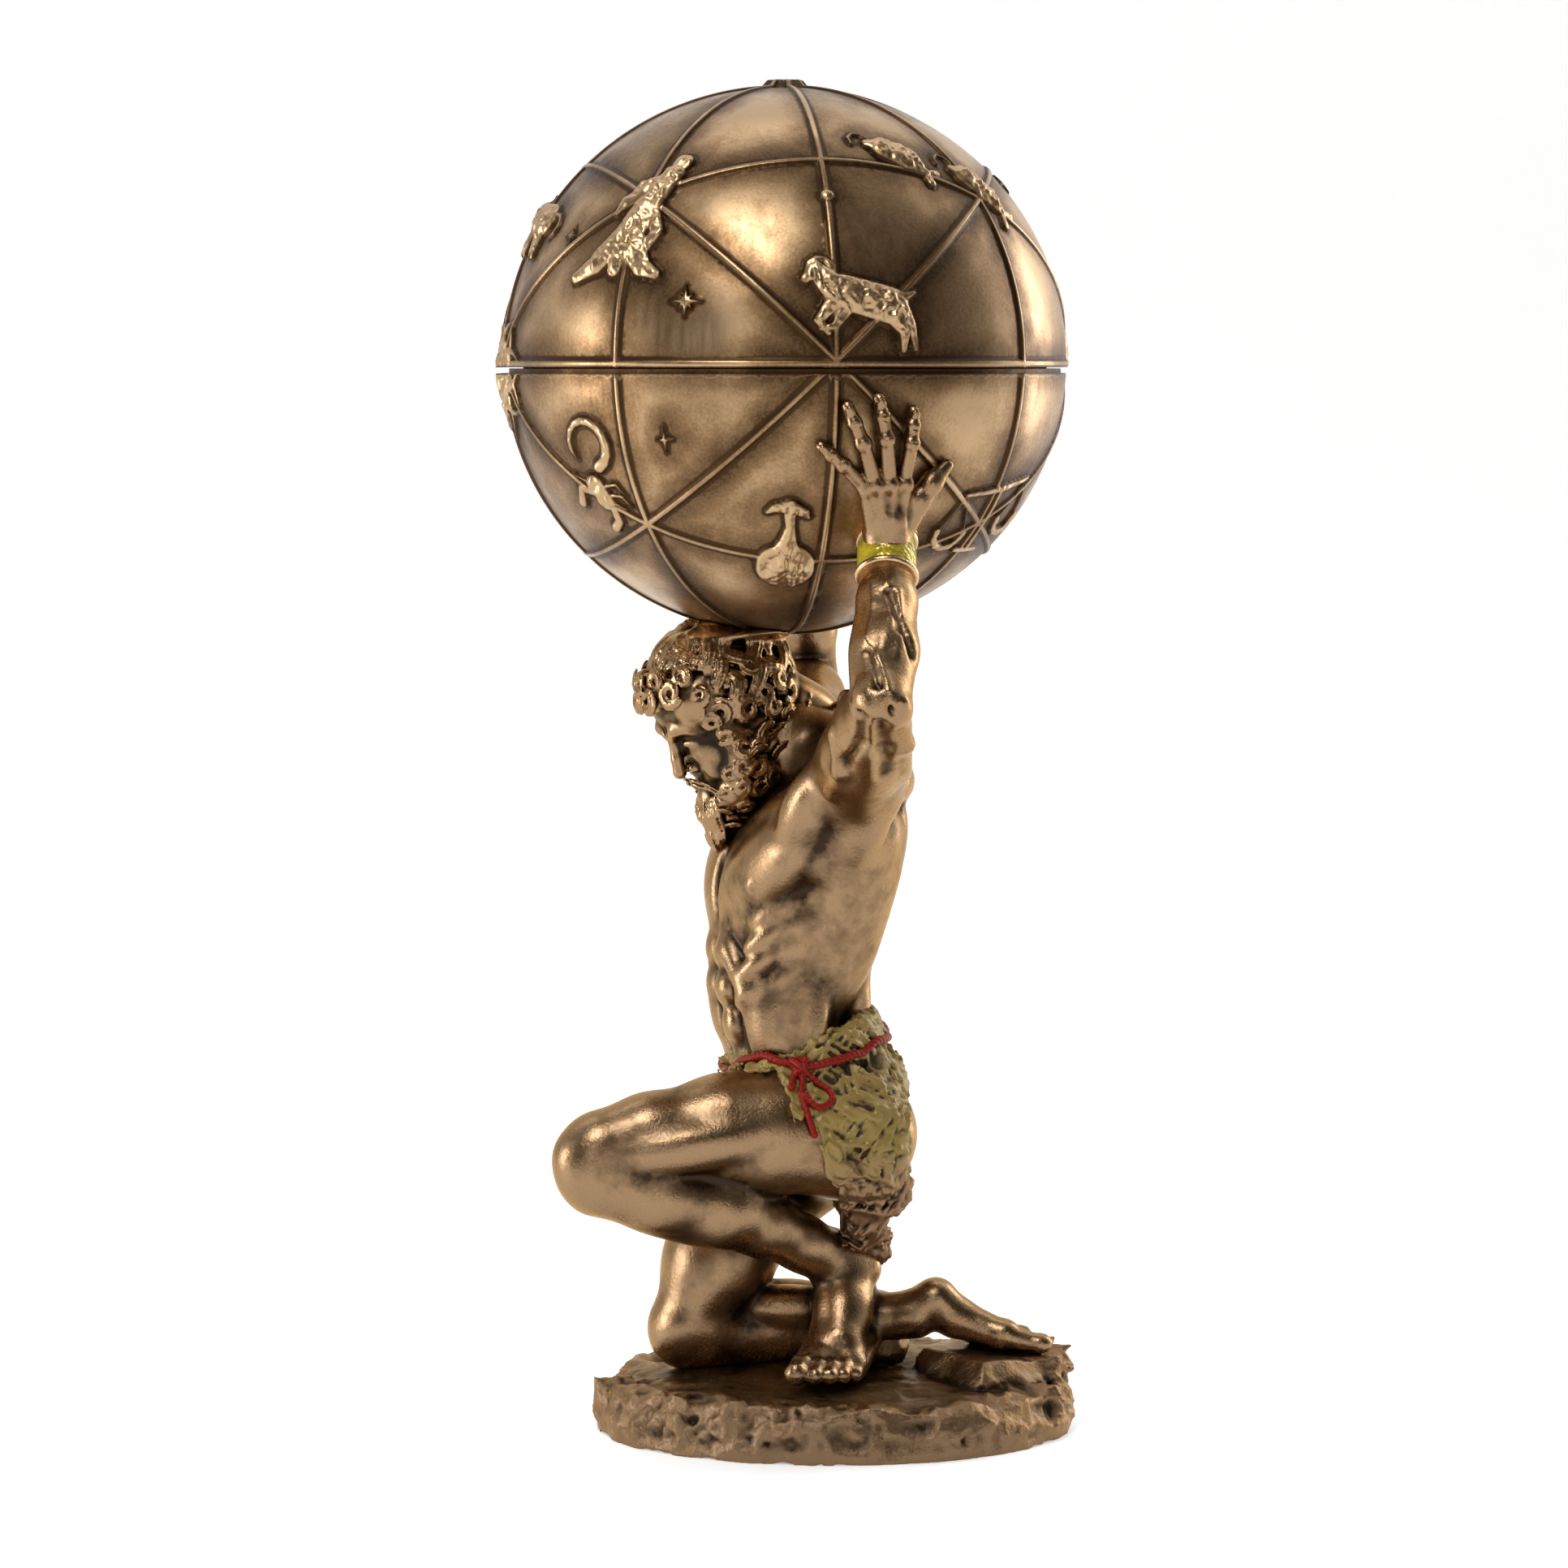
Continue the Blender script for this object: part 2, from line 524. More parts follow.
def torso(c):
    def lump(centre, radii, blend=6, tilt=0.0):
        axes = (TF * math.cos(tilt) + TU * math.sin(tilt), TL, TU * math.cos(tilt) - TF * math.sin(tilt))
        c.oval(centre, axes, radii, blend)

    lump(T(0.5, 0, 67), (14, 20.5, 15))
    lump(T(-0.6, 0, 79), (13.0, 18.2, 12))
    lump(T(1.5, 0, 90), (11.9, 17.0, 21), 7)
    lump(T(2.2, -8, 122), (17.0, 15.5, 19), 6)
    lump(T(2.4, -6, 98), (13.4, 12.5, 16), 6)
    lump(T(-1.0, 0, 116), (17.5, 22.5, 24), 8, -0.10)
    lump(T(-2.5, 0, 137), (15, 25, 14), 8)
    c.limb([(V(12, 0, 147), 11), (V(1, -1, 155), 9.5)], 6)
    for s in (1, -1):
        sh = shoulder(s)
        out = s * TL

        def L(f, l, z):
            return T(f, l * s, z)

        c.limb([(V(10, 0, 151.5), 6.6), (sh + V(-1, 0, 0), 8.0)], 5)
        c.ball(L(1, 21, 136), (11, 9, 13), 5)
        # Chest: two fans that run up to the raised arm.
        c.muscle(L(13.8, 3, 128), L(6.5, 28, 144), 8.5, 5.2, TF, 2.2, over=1.12)
        c.muscle(L(15.2, 3.2, 119), L(9, 26, 135), 8.0, 5.2, TF + 0.4 * out, 2.2, over=1.12)
        c.muscle(L(10, 24, 134), sh + V(-7, -3 * s, 3), 6.0, 6.0, TF + out, 2.6, over=1.1)
        # Back: the broad muscle, the blade with its ridge, and the cords beside the spine.
        c.muscle(L(-8, 24, 140), L(-7, 12, 97), 10, 6.0, out - 0.6 * TF, 3.4, over=1.08)
        c.muscle(L(-13, 14, 142), L(-13.5, 9, 116), 8.5, 5, -TF, 2.4, over=1.05)
        c.muscle(L(-12, 19, 139), L(-6, 25, 129), 5.5, 4.5, out - TF, 2.0, over=1.1)
        c.muscle(L(-14, 7, 146), L(-7.5, 26, 147), 5.0, 4.0, -TF, 2.4, over=1.1)
        c.muscle(L(-4, 25, 130), sh + V(2, -3 * s, 1), 6.6, 6.6, out, 3.4, over=1.1)
        c.muscle(L(-12, 5.4, 116), L(-9.0, 5.0, 76), 4.4, 4.0, -TF, 1.8, over=1.1)
        # Saw-toothed slips over the ribs.
        for i in range(5):
            z = 127 - 6.0 * i
            c.muscle(L(3.4 + 1.2 * i, 21.9 - 1.5 * i, z), L(11.6 + 0.3 * i, 15.2 - 0.9 * i, z - 6.0),
                     2.5, 2.6, out + 0.6 * TF, 1.7, over=1.1)
            c.muscle(L(-4.5 + 0.8 * i, 22.2 - 1.5 * i, z - 1), L(3.5 + 1.0 * i, 20.8 - 1.4 * i, z - 7.0),
                     2.2, 2.4, out, 1.8, over=1.05)
        # Flank, its fold over the hip bone, the rib arch and the belly's pads.
        c.muscle(L(2, 16.2, 104), L(4.5, 16.4, 83), 7.6, 3.9, out + 0.3 * TF, 3.6, over=1.1)
        c.muscle(L(9.5, 13.0, 101), L(8.5, 13.6, 84), 4.2, 3.0, out + TF, 2.6, over=1.1)
        c.muscle(L(-5, 16, 86), L(9, 16, 80), 4.6, 4.0, out, 2.4)
        c.muscle(L(15.4, 3, 113), L(11.5, 14, 100), 2.7, 2.6, TF, 1.6, over=1.1)
        for z, h, f in ((108.0, 4.0, 14.4), (100.0, 4.3, 13.7), (91.6, 4.6, 13.0), (81.5, 6.5, 12.4)):
            c.muscle(L(f, 4.6, z + h), L(f - 0.2, 4.4, z - h), 4.2, 3.1, TF, 1.5, over=1.05)
        # Collar bone, nipple.
        c.limb([(T(12, 3 * s, 141), 1.6), (L(7, 16, 147), 1.5), (sh + V(-5, 0, 4), 1.6)], 2.0)
        c.ball(L(14.9, 17.0, 124.0), 1.3, 1.0)
    c.muscle(T(21.0, 0, 136), T(19.0, 0, 112), 0.8, 2.4, TF, 2.0, carve=True)
    c.muscle(T(17.0, 0, 108), T(16.0, 0, 78), 0.7, 1.4, TF, 1.4, carve=True)
    c.muscle(T(-18, 0, 135), T(-15.6, 0, 75), 1.2, 2.8, -TF, 3.0, carve=True)
    c.ball(T(15.9, 0, 88), 1.3, 0.8, carve=True)


def arm(c, s):
    shift, sh, wr, el = arm_joints(s)
    arm_way, fore = unit(el - sh), unit(wr - el)
    up = unit(np.cross(np.cross(arm_way, TU), arm_way))
    front = V(-1, 0, 0)

    def at(t):
        return sh + (el - sh) * t

    c.limb([(sh + V(-0.8, 0, 0), 10.4), (at(0.35) + V(-0.8, 0, 0), 9.0), (at(0.7), 7.5), (el, 5.9)], 3)
    c.muscle(at(-0.12) + up * 3 + V(-1.5, 0, 0), at(0.48) + up, 9.4, 8.0, up, 2.5, over=1.05)
    c.muscle(at(-0.10) + up * 2 - front * 4.5, at(0.42) - front * 3.0, 5.4, 6.0, up - front, 1.4, over=1.05)
    c.muscle(at(0.20) + up * 3.2 + front * 3.8, at(0.90) + up * 2.9 + front * 1.8, 5.2, 5.6, up + front, 1.2)
    c.muscle(at(0.12) - up * 3.8 - front, at(0.88) - up * 2.4, 5.7, 5.8, -up, 1.3, over=1.05)
    c.muscle(at(0.16) - up * 1.5 + front * 5.0, at(0.72) - up + front * 2.6, 4.2, 4.4, front, 1.2, over=1.05)
    c.muscle(at(0.20) - front * 4.8, at(0.80) - front * 3.2, 4.0, 4.2, -front, 1.3, over=1.05)
    # Creases between the muscles, the elbow, and the forearm with a few raised veins.
    c.limb([(at(0.30) + up * 6.0 - V(0, 3.4 * s, 0), 0.5), (at(0.58) + up * 1.6 - V(0, 6.6 * s, 0), 0.9),
            (at(0.86) - up * 1.0 - V(0, 6.2 * s, 0), 0.5)], 1.6, carve=True)
    c.limb([(el + V(1.0, 0, 0), 5.9), (el + (wr - el) * 0.35 + V(0.9, 0, 0), 6.9),
            (el + (wr - el) * 0.7 + V(0.6, 0, 0), 6.2), (wr, 5.2), (wr + V(0, 0, 4), 4.8)], 2)
    c.ball(el + arm_way * 0.4 - fore * 1.6 + V(2.2, 1.2 * s, 0), 3.9, 2.6)
    veins = (((0.10, 2.0), (0.34, -0.6), (0.60, 1.4), (0.86, 0.2)),
             ((0.30, -1.0), (0.46, -3.4), (0.70, -2.4), (0.88, -3.2)),
             ((0.34, 3.4), (0.56, 3.8), (0.80, 2.6)))
    for vein in veins:
        row = []
        for t, across in vein:
            middle = el + (wr - el) * t
            p = middle + V(across, -9.0 * s, 0)
            for _ in range(26):
                if float(c.at(c.field, np.array([p]))[0]) < 0.15:
                    break
                p = p + V(0, 0.4 * s, 0)
            row.append((p, 0.34))
        c.limb(row, 1.3)
    c.muscle(el + V(2.6, 0, -2.0), el + (wr - el) * 0.74 + V(1.8, 0, 0), 4.6, 4.7, V(1, -0.3 * s, 0), 1.1,
             over=1.1)
    c.muscle(el + V(-2.4, 0, -1.0), el + (wr - el) * 0.76 + V(-1.6, 0, 0), 4.6, 4.7, V(-1, -0.3 * s, 0), 1.1,
             over=1.1)
    c.muscle(el + V(0, -2.4 * s, 1.0), el + (wr - el) * 0.7 + V(0, -1.6 * s, 0), 3.4, 4.0, V(0, -s, 0), 0.9,
             over=1.05)
    # The wrist ends inside the bracelet.
    part, (x, y, z) = c.window(wr - V(12, 12, 6), wr + V(12, 12, 16))
    c.field[part] = np.maximum(c.field[part], z - wr[2] - 4.6)


def legs(c):
    # Near thigh, lifted almost level.
    hip, knee = V(15, -12, 68), V(-39, -26, 67)
    c.limb([(hip, 14.5), (V(-4.8, -17, 69.5), 13.2), (V(-14, -20, 71.0), 10.6), (V(-29, -24, 69.6), 8.6),
            (knee, 8.6)], 4)
    c.muscle(V(6, -16, 75), V(-37, -26.5, 70.6), 8.0, 6.8, V(0, -0.3, 1), 1.8, over=1.02)
    c.muscle(V(2, -24, 71), V(-38, -31.5, 65.5), 6.2, 6.8, V(0, -1, 0.2), 1.5, over=1.02)
    c.muscle(V(4, -8, 72), V(-36, -20.5, 68), 6.5, 6.5, V(0, 1, 0.2), 1.6, over=1.02)
    c.muscle(V(14, -19, 62.6), V(-24, -26, 64.5), 6.5, 5.0, V(0, -1, -1), 1.4, over=1.02)
    c.muscle(V(12, -9, 61), V(-22, -18, 63), 6.5, 5.0, V(0, 1, -1), 1.4, over=1.02)
    # Near calf, folded back under the thigh.
    c.limb([(V(-40, -26, 60.5), 8.8), (V(-27, -24, 56.4), 8.0), (V(-13.6, -18.5, 52.7), 8.7),
            (V(-4.8, -13, 48), 7.0),
            (V(4, -7, 42.7), 5.9), (V(13.5, 0, 36), 6.3)], 3)
    c.muscle(V(-33, -28, 58.5), V(-1, -14, 48.7), 5.6, 6.4, V(0.3, -0.6, 1), 1.3)
    c.muscle(V(-33, -20, 58.5), V(-4, -10, 50.2), 5.6, 6.4, V(0.3, 0.6, 1), 1.3)
    c.muscle(V(-38, -28, 53.8), V(-4, -12, 43.7), 4.2, 4.2, V(-0.3, -0.3, -1), 1.3)
    c.limb([(V(2, -5, 45.5), 2.8), (V(17, 5, 40), 2.6)], 2.0)
    c.ball(V(-43.2, -27, 64.0), (6.9, 7.2, 8.2), 4.0)
    c.ball(V(-46.0, -27.5, 65.0), (3.8, 5.0, 5.0), 2.2)
    c.limb([(V(-45.6, -27.5, 61.6), 3.0), (V(-42.6, -27, 56.6), 2.8)], 2.2)
    # Far thigh down to the knee on the rock, and the lower leg lying behind it.
    c.limb([(V(12, 13, 66), 14.5), (V(-8, 9, 50), 13.2), (V(-15, 7, 36), 11.8), (V(-20, 5, 23), 9.4)], 4)
    c.muscle(V(0, 10, 66), V(-24.5, 5, 26), 8.6, 6.0, V(-0.8, 0, 0.6), 1.8)
    c.muscle(V(-2, 2, 58), V(-20, -1.5, 25), 6.5, 5.6, V(-0.2, -1, 0), 1.6)
    c.muscle(V(-2, 18, 58), V(-20, 12, 25), 6.5, 5.6, V(-0.2, 1, 0), 1.6)
    c.ball(V(-23.4, 5, 21.0), (6.8, 6.9, 8.6), 3.0)
    c.ball(V(-26.5, 5, 21.0), (3.4, 4.8, 5.5), 2.0)
    c.limb([(V(-16, 6, 20), 8.4), (V(-2, 9, 21), 8.4), (V(12, 6, 22), 6.8), (V(29.5, 1.5, 25), 4.6)], 3)
    c.muscle(V(-10, 3, 27), V(14, 3, 26), 5.1, 5.1, V(0, -0.5, 1), 1.4)
    c.muscle(V(-10, 12, 27), V(14, 8.5, 26), 5.1, 5.1, V(0, 0.5, 1), 1.4)
    c.limb([(V(20, 4, 27), 1.9), (V(31, 1.3, 28.6), 2.2)], 1.6)
    # Far foot, its sole turned up and its toes bent under.
    c.limb([(V(29.5, 1.5, 25), 4.8), (V(34, 1.0, 28.8), 4.5)], 2.5)
    c.limb([(V(34, 1.0, 28.4), 4.5), (V(38.5, 1.0, 24.6), 4.4), (V(48.5, -1.6, 21.0), 3.5)], 2.0)
    c.limb([(V(35, 4.0, 25.5), 3.9), (V(46.5, 6.0, 19.0), 3.3)], 2.5)
    c.ball(V(49.2, -2.2, 21.3), (3.8, 3.5, 3.4), 1.2)
    c.limb([(V(50, -2.6, 20.8), 2.7), (V(54.5, -3.0, 19.8), 2.4)], 0.6)
    c.ball(V(57.0, -3.2, 19.4), (3.1, 2.6, 2.4), 0.5)
    for i in range(4):
        y = 1.2 + 2.9 * i
        c.limb([(V(48.5 - 0.9 * i, y, 20.0), 2.3), (V(52.8 - 1.1 * i, y - 0.2, 20.2), 2.0)], 0.7)
        c.ball(V(54.8 - 1.2 * i, y - 0.3, 19.0), 1.9, 0.4)
    # Near foot, flat on the rock and pointing out towards the near side.
    c.limb([(V(13.5, 0.5, 34.5), 6.7), (V(13.2, -6, 27.5), 6.1), (V(12.4, -12.5, 21.5), 5.2)], 3)
    c.limb([(V(16, 8.5, 33), 4.6), (V(15.6, 9.5, 20), 6.2)], 3)
    c.limb([(V(15.6, 8.5, 18), 5.5), (V(12.5, -12, 17.5), 5.0)], 3)
    c.limb([(V(17.4, 4, 19), 4.6), (V(15.2, -16.5, 17.0), 3.4)], 2.5)
    c.limb([(V(10, -8, 22), 4.6), (V(6.6, -17.0, 18.0), 4.0)], 2.5)
    c.limb([(V(6.6, -17.5, 17.4), 3.8), (V(14.6, -16.5, 16.8), 3.2)], 1.6)
    c.ball(V(19.2, 0.5, 36.0), (2.6, 3.2, 3.4), 2.0)
    c.ball(V(8.0, -0.5, 37.0), (2.6, 3.2, 3.4), 2.0)
    toes = (((5.2, -19, 18.0), (2.6, -24.5, 16.6), 2.5), ((8.4, -19.5, 17.8), (6.8, -24.8, 16.2), 1.85),
            ((11.2, -19, 17.5), (10.0, -24.0, 16.0), 1.8), ((13.8, -18.2, 17.0), (13.0, -22.6, 15.9), 1.7),
            ((16.2, -16.6, 16.6), (15.8, -20.2, 15.7), 1.6))
    for i, (base, tip, r) in enumerate(toes):
        base, tip = V(*base), V(*tip)
        mid = (base + tip) / 2 + V(0, 0, 1.0)
        c.limb([(base, r * 1.05), (mid, r * 0.98)], 0.8)
        c.limb([(mid, r * 0.98), (tip, r * 0.95)], 0.4)
        c.ball(tip, r * 1.06, 0.4)
        # Cords of the toes over the foot's back, and a nail on each toe.
        c.limb([(base + V(0, 1.5, r * 0.55), 0.8),
                (V(12.0 + (i - 2) * 0.7, -9, 25.2 - abs(i - 2) * 0.6), 0.7)], 1.2)
        c.ball(tip + V(0, -0.25 * r, 0.72 * r), (r * 0.62, r * 0.55, r * 0.42), 0.25)
    for s in (1, -1):
        c.ball(T(-2.8, 10.0 * s, 66.5), (9.8, 11.0, 12.0), 3.4)


def on_skin(c, x, z, s):
    """The outermost point of the clay over this place, seen from the side s."""
    y = c.low[1] + c.grain * np.arange(c.count[1])
    if s < 0:
        y = y[::-1]
    inside = np.flatnonzero(c.at(c.field, np.stack([np.full(len(y), x), y, np.full(len(y), z)], axis=-1)) < 0)
    return V(x, y[inside[0]] + 0.25 * s, z) if len(inside) else V(x, -80 * s, z)


def modelled(c):
    """Grooves and cords worked into the arms, the flank and the legs with a small tool."""
    for s in (1, -1):
        dx = 0 if s == 1 else -11.5
        for points, r, blend, cut in (
                (((19.8, 163), (20.8, 157), (21.8, 151)), 1.2, 2.6, True),
                (((14.0, 171), (16.4, 165), (16.2, 159), (12.6, 153.5)), 0.55, 1.8, True),
                (((22.0, 190), (24.4, 183), (26.4, 177)), 0.55, 1.6, True),
                (((17.6, 178), (19.0, 172), (22.5, 166)), 0.5, 1.8, True),
                (((24.4, 168), (25.8, 158), (26.0, 150)), 1.2, 2.2, False),
                (((10.5, 160), (12.0, 152), (10.0, 146)), 1.3, 2.2, False),
                (((-1.0, 146), (-7.0, 140), (-12.0, 133)), 0.4, 2.6, True)):
            if s == 1 or points[0][1] > 150:
                c.limb([(on_skin(c, x + dx, z, s), r) for x, z in points], blend, carve=cut)


body = Clay((-60, -88, 8), (64, 88, 204), 0.64)
torso(body)
legs(body)
for s in (1, -1):
    arm(body, s)
modelled(body)
figure = body.piece("figure", 150000, soften=1)
skin = bronze("skin_bronze", (0.295, 0.186, 0.098), (0.034, 0.018, 0.009), 0.27, 0.42, 2.1, 0.34)
figure.data.materials.append(skin)
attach(figure, "root")
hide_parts("figure_and_rock")

# ---- Hands
# Both lie open on the globe, the fingers spread with bony joints, wrinkles and small nails.
def hand(s):
    shift, sh, wr, el = arm_joints(s)
    c = Clay(np.minimum(wr, on_globe(20 + shift, -20, 4, s)) - V(22, 14, 10),
             np.maximum(wr, on_globe(20 + shift, -20, 4, s)) + V(22, 16, 22), 0.36)

    def P(u, v, lift):
        return on_globe(u + shift, v + 0.6, lift, s)

    c.limb([(wr, 4.9), (wr + V(0, 0, 6), 4.9), (P(20, -32.0, 3.6), 3.8)], 1.5)
    for ub, ut in ((16.4, 16.0), (18.4, 18.2), (20.6, 20.8), (22.8, 23.2)):
        c.limb([(P(19.6 + (ub - 19.6) * 0.6, -34.5, 3.6), 2.7), (P(ut, -26.0, 2.4), 2.3)], 0.8)
    # Thumb with its ball.
    c.limb([(P(22.5, -34.0, 3.4), 3.1), (P(26.2, -28.8, 2.6), 2.8), (P(29.6, -25.0, 2.0), 2.3),
            (P(32.8, -22.2, 1.3), 1.4)], 0.9)
    c.ball(P(28.8, -25.8, 2.4), 2.45, 0.6)
    fingers = (((15.6, -26.4), (11.0, -21.4), (6.6, -18.0), 1.72),
               ((17.3, -25.4), (14.8, -17.0), (12.0, -9.8), 1.92),
               ((20.2, -25.2), (19.4, -16.0), (18.4, -8.2), 1.98),
               ((23.3, -25.2), (24.6, -17.0), (25.6, -10.8), 1.84))
    for base, mid, tip, r in fingers:
        (bu, bv), (mu, mv), (tu, tv) = base, mid, tip
        last = (mu * 0.45 + tu * 0.55, mv * 0.45 + tv * 0.55)
        c.ball(P(bu, bv, r * 1.7), r * 1.12, 0.6)
        c.limb([(P(bu, bv, r * 1.35), r * 0.95), (P(mu, mv, r * 1.6), r * 0.84)], 0.4)
        c.ball(P(mu, mv, r * 1.65), r * 1.04, 0.35)
        c.limb([(P(mu, mv, r * 1.5), r * 0.84), (P(*last, r * 1.3), r * 0.78)], 0.35)
        c.ball(P(*last, r * 1.3), r * 0.92, 0.3)
        c.limb([(P(*last, r * 1.2), r * 0.8), (P(tu, tv, r * 0.8), r * 0.68)], 0.3)
        # Wrinkles over the joints, the nail, and the cord that runs to the wrist.
        run = unit(P(tu, tv, 0) - P(bu, bv, 0))
        side = unit(np.cross(run, P(mu, mv, 1) - P(mu, mv, 0)))
        for (ju, jv), high in (((mu, mv), 2.62), (last, 2.12)):
            for k in (-0.55, 0.55):
                p = P(ju, jv, r * high) + run * k
                c.limb([(p - side * r * 0.6, 0.2), (p + side * r * 0.6, 0.2)], 0.2, carve=True)
        p = P(tu * 0.86 + mu * 0.14, tv * 0.86 + mv * 0.14, r * 1.55)
        c.oval(p, (run, side, unit(np.cross(run, side))), (r * 0.85, r * 0.55, r * 0.3), 0.15)
        c.limb([(P(bu, bv, r * 1.9), 0.75), (P(20 + (bu - 20) * 0.25, -35.0, 7.4), 0.6)], 0.9)
    part, (x, y, z) = c.grid()
    fore = unit((wr - el) * V(0.35, 1, 1))
    end = wr - fore * 0.6
    c.field[part] = np.maximum(c.field[part],
                               (end[0] - x) * fore[0] + (end[1] - y) * fore[1] + (end[2] - z) * fore[2])
    return c


for s, name in ((1, "near_hand"), (-1, "far_hand")):
    palm = hand(s).piece(name, 34000)
    palm.data.materials.append(skin)
    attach(palm, "root")
    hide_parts("figure_and_rock")

# ---- Head
# Bowed under the globe and turned a little to its left: deep brow, lowered eyes, straight nose,
# and thick hair, moustache and beard in snail curls and combed locks.
YAW, PITCH = math.radians(22), math.radians(32)
LEVEL = V(-math.cos(YAW), -math.sin(YAW), 0)
HF = math.cos(PITCH) * LEVEL - math.sin(PITCH) * TU
HU = math.sin(PITCH) * LEVEL + math.cos(PITCH) * TU
HL = np.cross(HU, HF)
HC = V(-13.3, -1.0, 159.3)


def H(f, l, u):
    return HC + HF * f + HL * l + HU * u


def face(c):
    def F(f, l, u):
        return H(f - 1.9, l, u + 0.6)

    def O(centre, radii, blend=3.0, carve=False):
        c.oval(centre, (HF, HL, HU), radii, blend, carve)

    O(F(-1, 0, 5.0), (14.8, 12.0, 12.4), 2)
    c.limb([(F(3, 0, -4), 9.0), (F(9.0, 0, -11), 5.4)], 4)
    O(F(6.0, 0, 1.0), (8.4, 9.2, 11), 3)
    c.limb([(H(-4, 0, -4), 8.5), (H(-15, 1, -11), 9.0)], 5)
    O(F(10.4, 0, 8.4), (3.8, 8.2, 5.6), 3)
    for s in (1, -1):
        O(F(6.4, 5.4 * s, -4.0), (5.0, 5.4, 6.8), 3)
        O(F(7.0, 5.8 * s, 5.6), (5.2, 4.8, 5.6), 3)
        # Frowning brow, eye under a heavy lid, cheek bone, wing of the nose.
        c.limb([(F(14.4, 1.6 * s, 3.0), 1.3), (F(14.0, 4.0 * s, 4.6), 1.35), (F(12.0, 7.4 * s, 4.4), 1.2),
                (F(9.6, 9.4 * s, 2.4), 1.0)], 1.5)
        O(F(14.9, 4.3 * s, 0.9), (2.2, 2.3, 1.5), 2.0, True)
        O(F(11.2, 4.5 * s, 0.0), (2.5, 2.8, 2.3), 0.9)
        c.limb([(F(12.9, 2.5 * s, 0.5), 0.5), (F(13.6, 4.4 * s, 0.7), 0.62), (F(12.2, 6.9 * s, 0.2), 0.5)],
               0.4)
        c.limb([(F(12.8, 2.5 * s, -0.8), 0.4), (F(13.3, 4.5 * s, -1.2), 0.42), (F(12.1, 6.6 * s, -0.8), 0.4)],
               0.3)
        c.limb([(F(13.0, 2.8 * s, -1.8), 0.35), (F(13.1, 4.5 * s, -2.6), 0.4), (F(12.2, 6.4 * s, -2.1), 0.3)],
               1.1)
        O(F(8.6, 6.2 * s, -3.8), (3.6, 3.6, 3.0), 4.0)
        O(F(10.6, 4.6 * s, -7.4), (2.8, 3.4, 3.2), 2.6)
        c.ball(F(14.1, 1.85 * s, -5.6), (1.5, 1.3, 1.2), 0.6)
        c.ball(F(14.9, 0.9 * s, -6.8), 0.45, 0.4, carve=True)
        c.limb([(F(14.8, 0.8 * s, 5.6), 0.25), (F(15.0, 0.8 * s, 3.4), 0.3)], 0.6, carve=True)
        for i in range(2):
            c.limb([(F(14.2 - 0.5 * i, 1.0 * s, 7.2 + 1.8 * i), 0.25),
                    (F(12.8 - 0.5 * i, 5.0 * s, 7.8 + 1.8 * i), 0.22)], 0.6, carve=True)
    c.limb([(F(14.2, 0, 2.8), 1.2), (F(16.0, 0, -2.2), 1.3), (F(17.0, 0, -5.0), 1.55)], 0.8)
    c.limb([(F(13.4, 2.4, -9.7), 0.6), (F(14.3, 0, -9.4), 0.8), (F(13.4, -2.4, -9.7), 0.6)], 0.4)
    c.limb([(F(12.8, 2.2, -10.8), 0.7), (F(13.8, 0, -11.1), 0.9), (F(12.8, -2.2, -10.8), 0.7)], 0.4)


def hair_base(c):
    def O(centre, radii, blend=2.0):
        c.oval(centre, (HF, HL, HU), radii, blend)

    O(H(-3.2, 0, 6.6), (14.8, 13.6, 13.8))
    O(H(-12.5, 0, -4.6), (7.8, 10, 9), 4)
    O(H(8.2, 0, 13.8), (5.0, 9.2, 3.8))
    for s in (1, -1):
        O(H(3.4, 9.4 * s, 9), (7.4, 4.4, 6.2))
        O(H(5.6, 9.0 * s, 8.6), (5.0, 3.2, 4.6))
        O(H(-1.0, 11.4 * s, 0), (5.6, 3.1, 7.4))
        O(H(4.4, 8.2 * s, -9.4), (5.2, 3.0, 4.6))
        c.limb([(H(3.6, 11.0 * s, 6), 2.6), (H(3.4, 11.6 * s, -1), 2.8), (H(4.2, 10.6 * s, -7), 3.2),
                (H(7.0, 8.0 * s, -12.4), 3.4), (H(11, 3.4 * s, -15), 3.2)], 1.6)
    c.limb([(H(11.0, 0, -13.6), 4.0), (H(13.2, 0, -17.5), 3.3), (H(15.0, 0, -21.0), 2.3),
            (H(16.6, 0, -23.6), 1.2)], 1.2)
    O(H(3, 0, -15), (8.4, 7.4, 4.6), 3)


def bend(points, count):
    """A smooth run of points through the given ones."""
    points = np.array(points, float)
    points = np.vstack([2 * points[0] - points[1], points, 2 * points[-1] - points[-2]])
    out = []
    for t in np.linspace(0, len(points) - 3 - 1e-6, count):
        i, f = int(t), t % 1
        a, b, c, d = points[i:i + 4]
        out.append(0.5 * (2 * b + (c - a) * f + (2 * a - 5 * b + 4 * c - d) * f * f
                          + (3 * b - a - 3 * c + d) * f ** 3))
    return np.array(out)


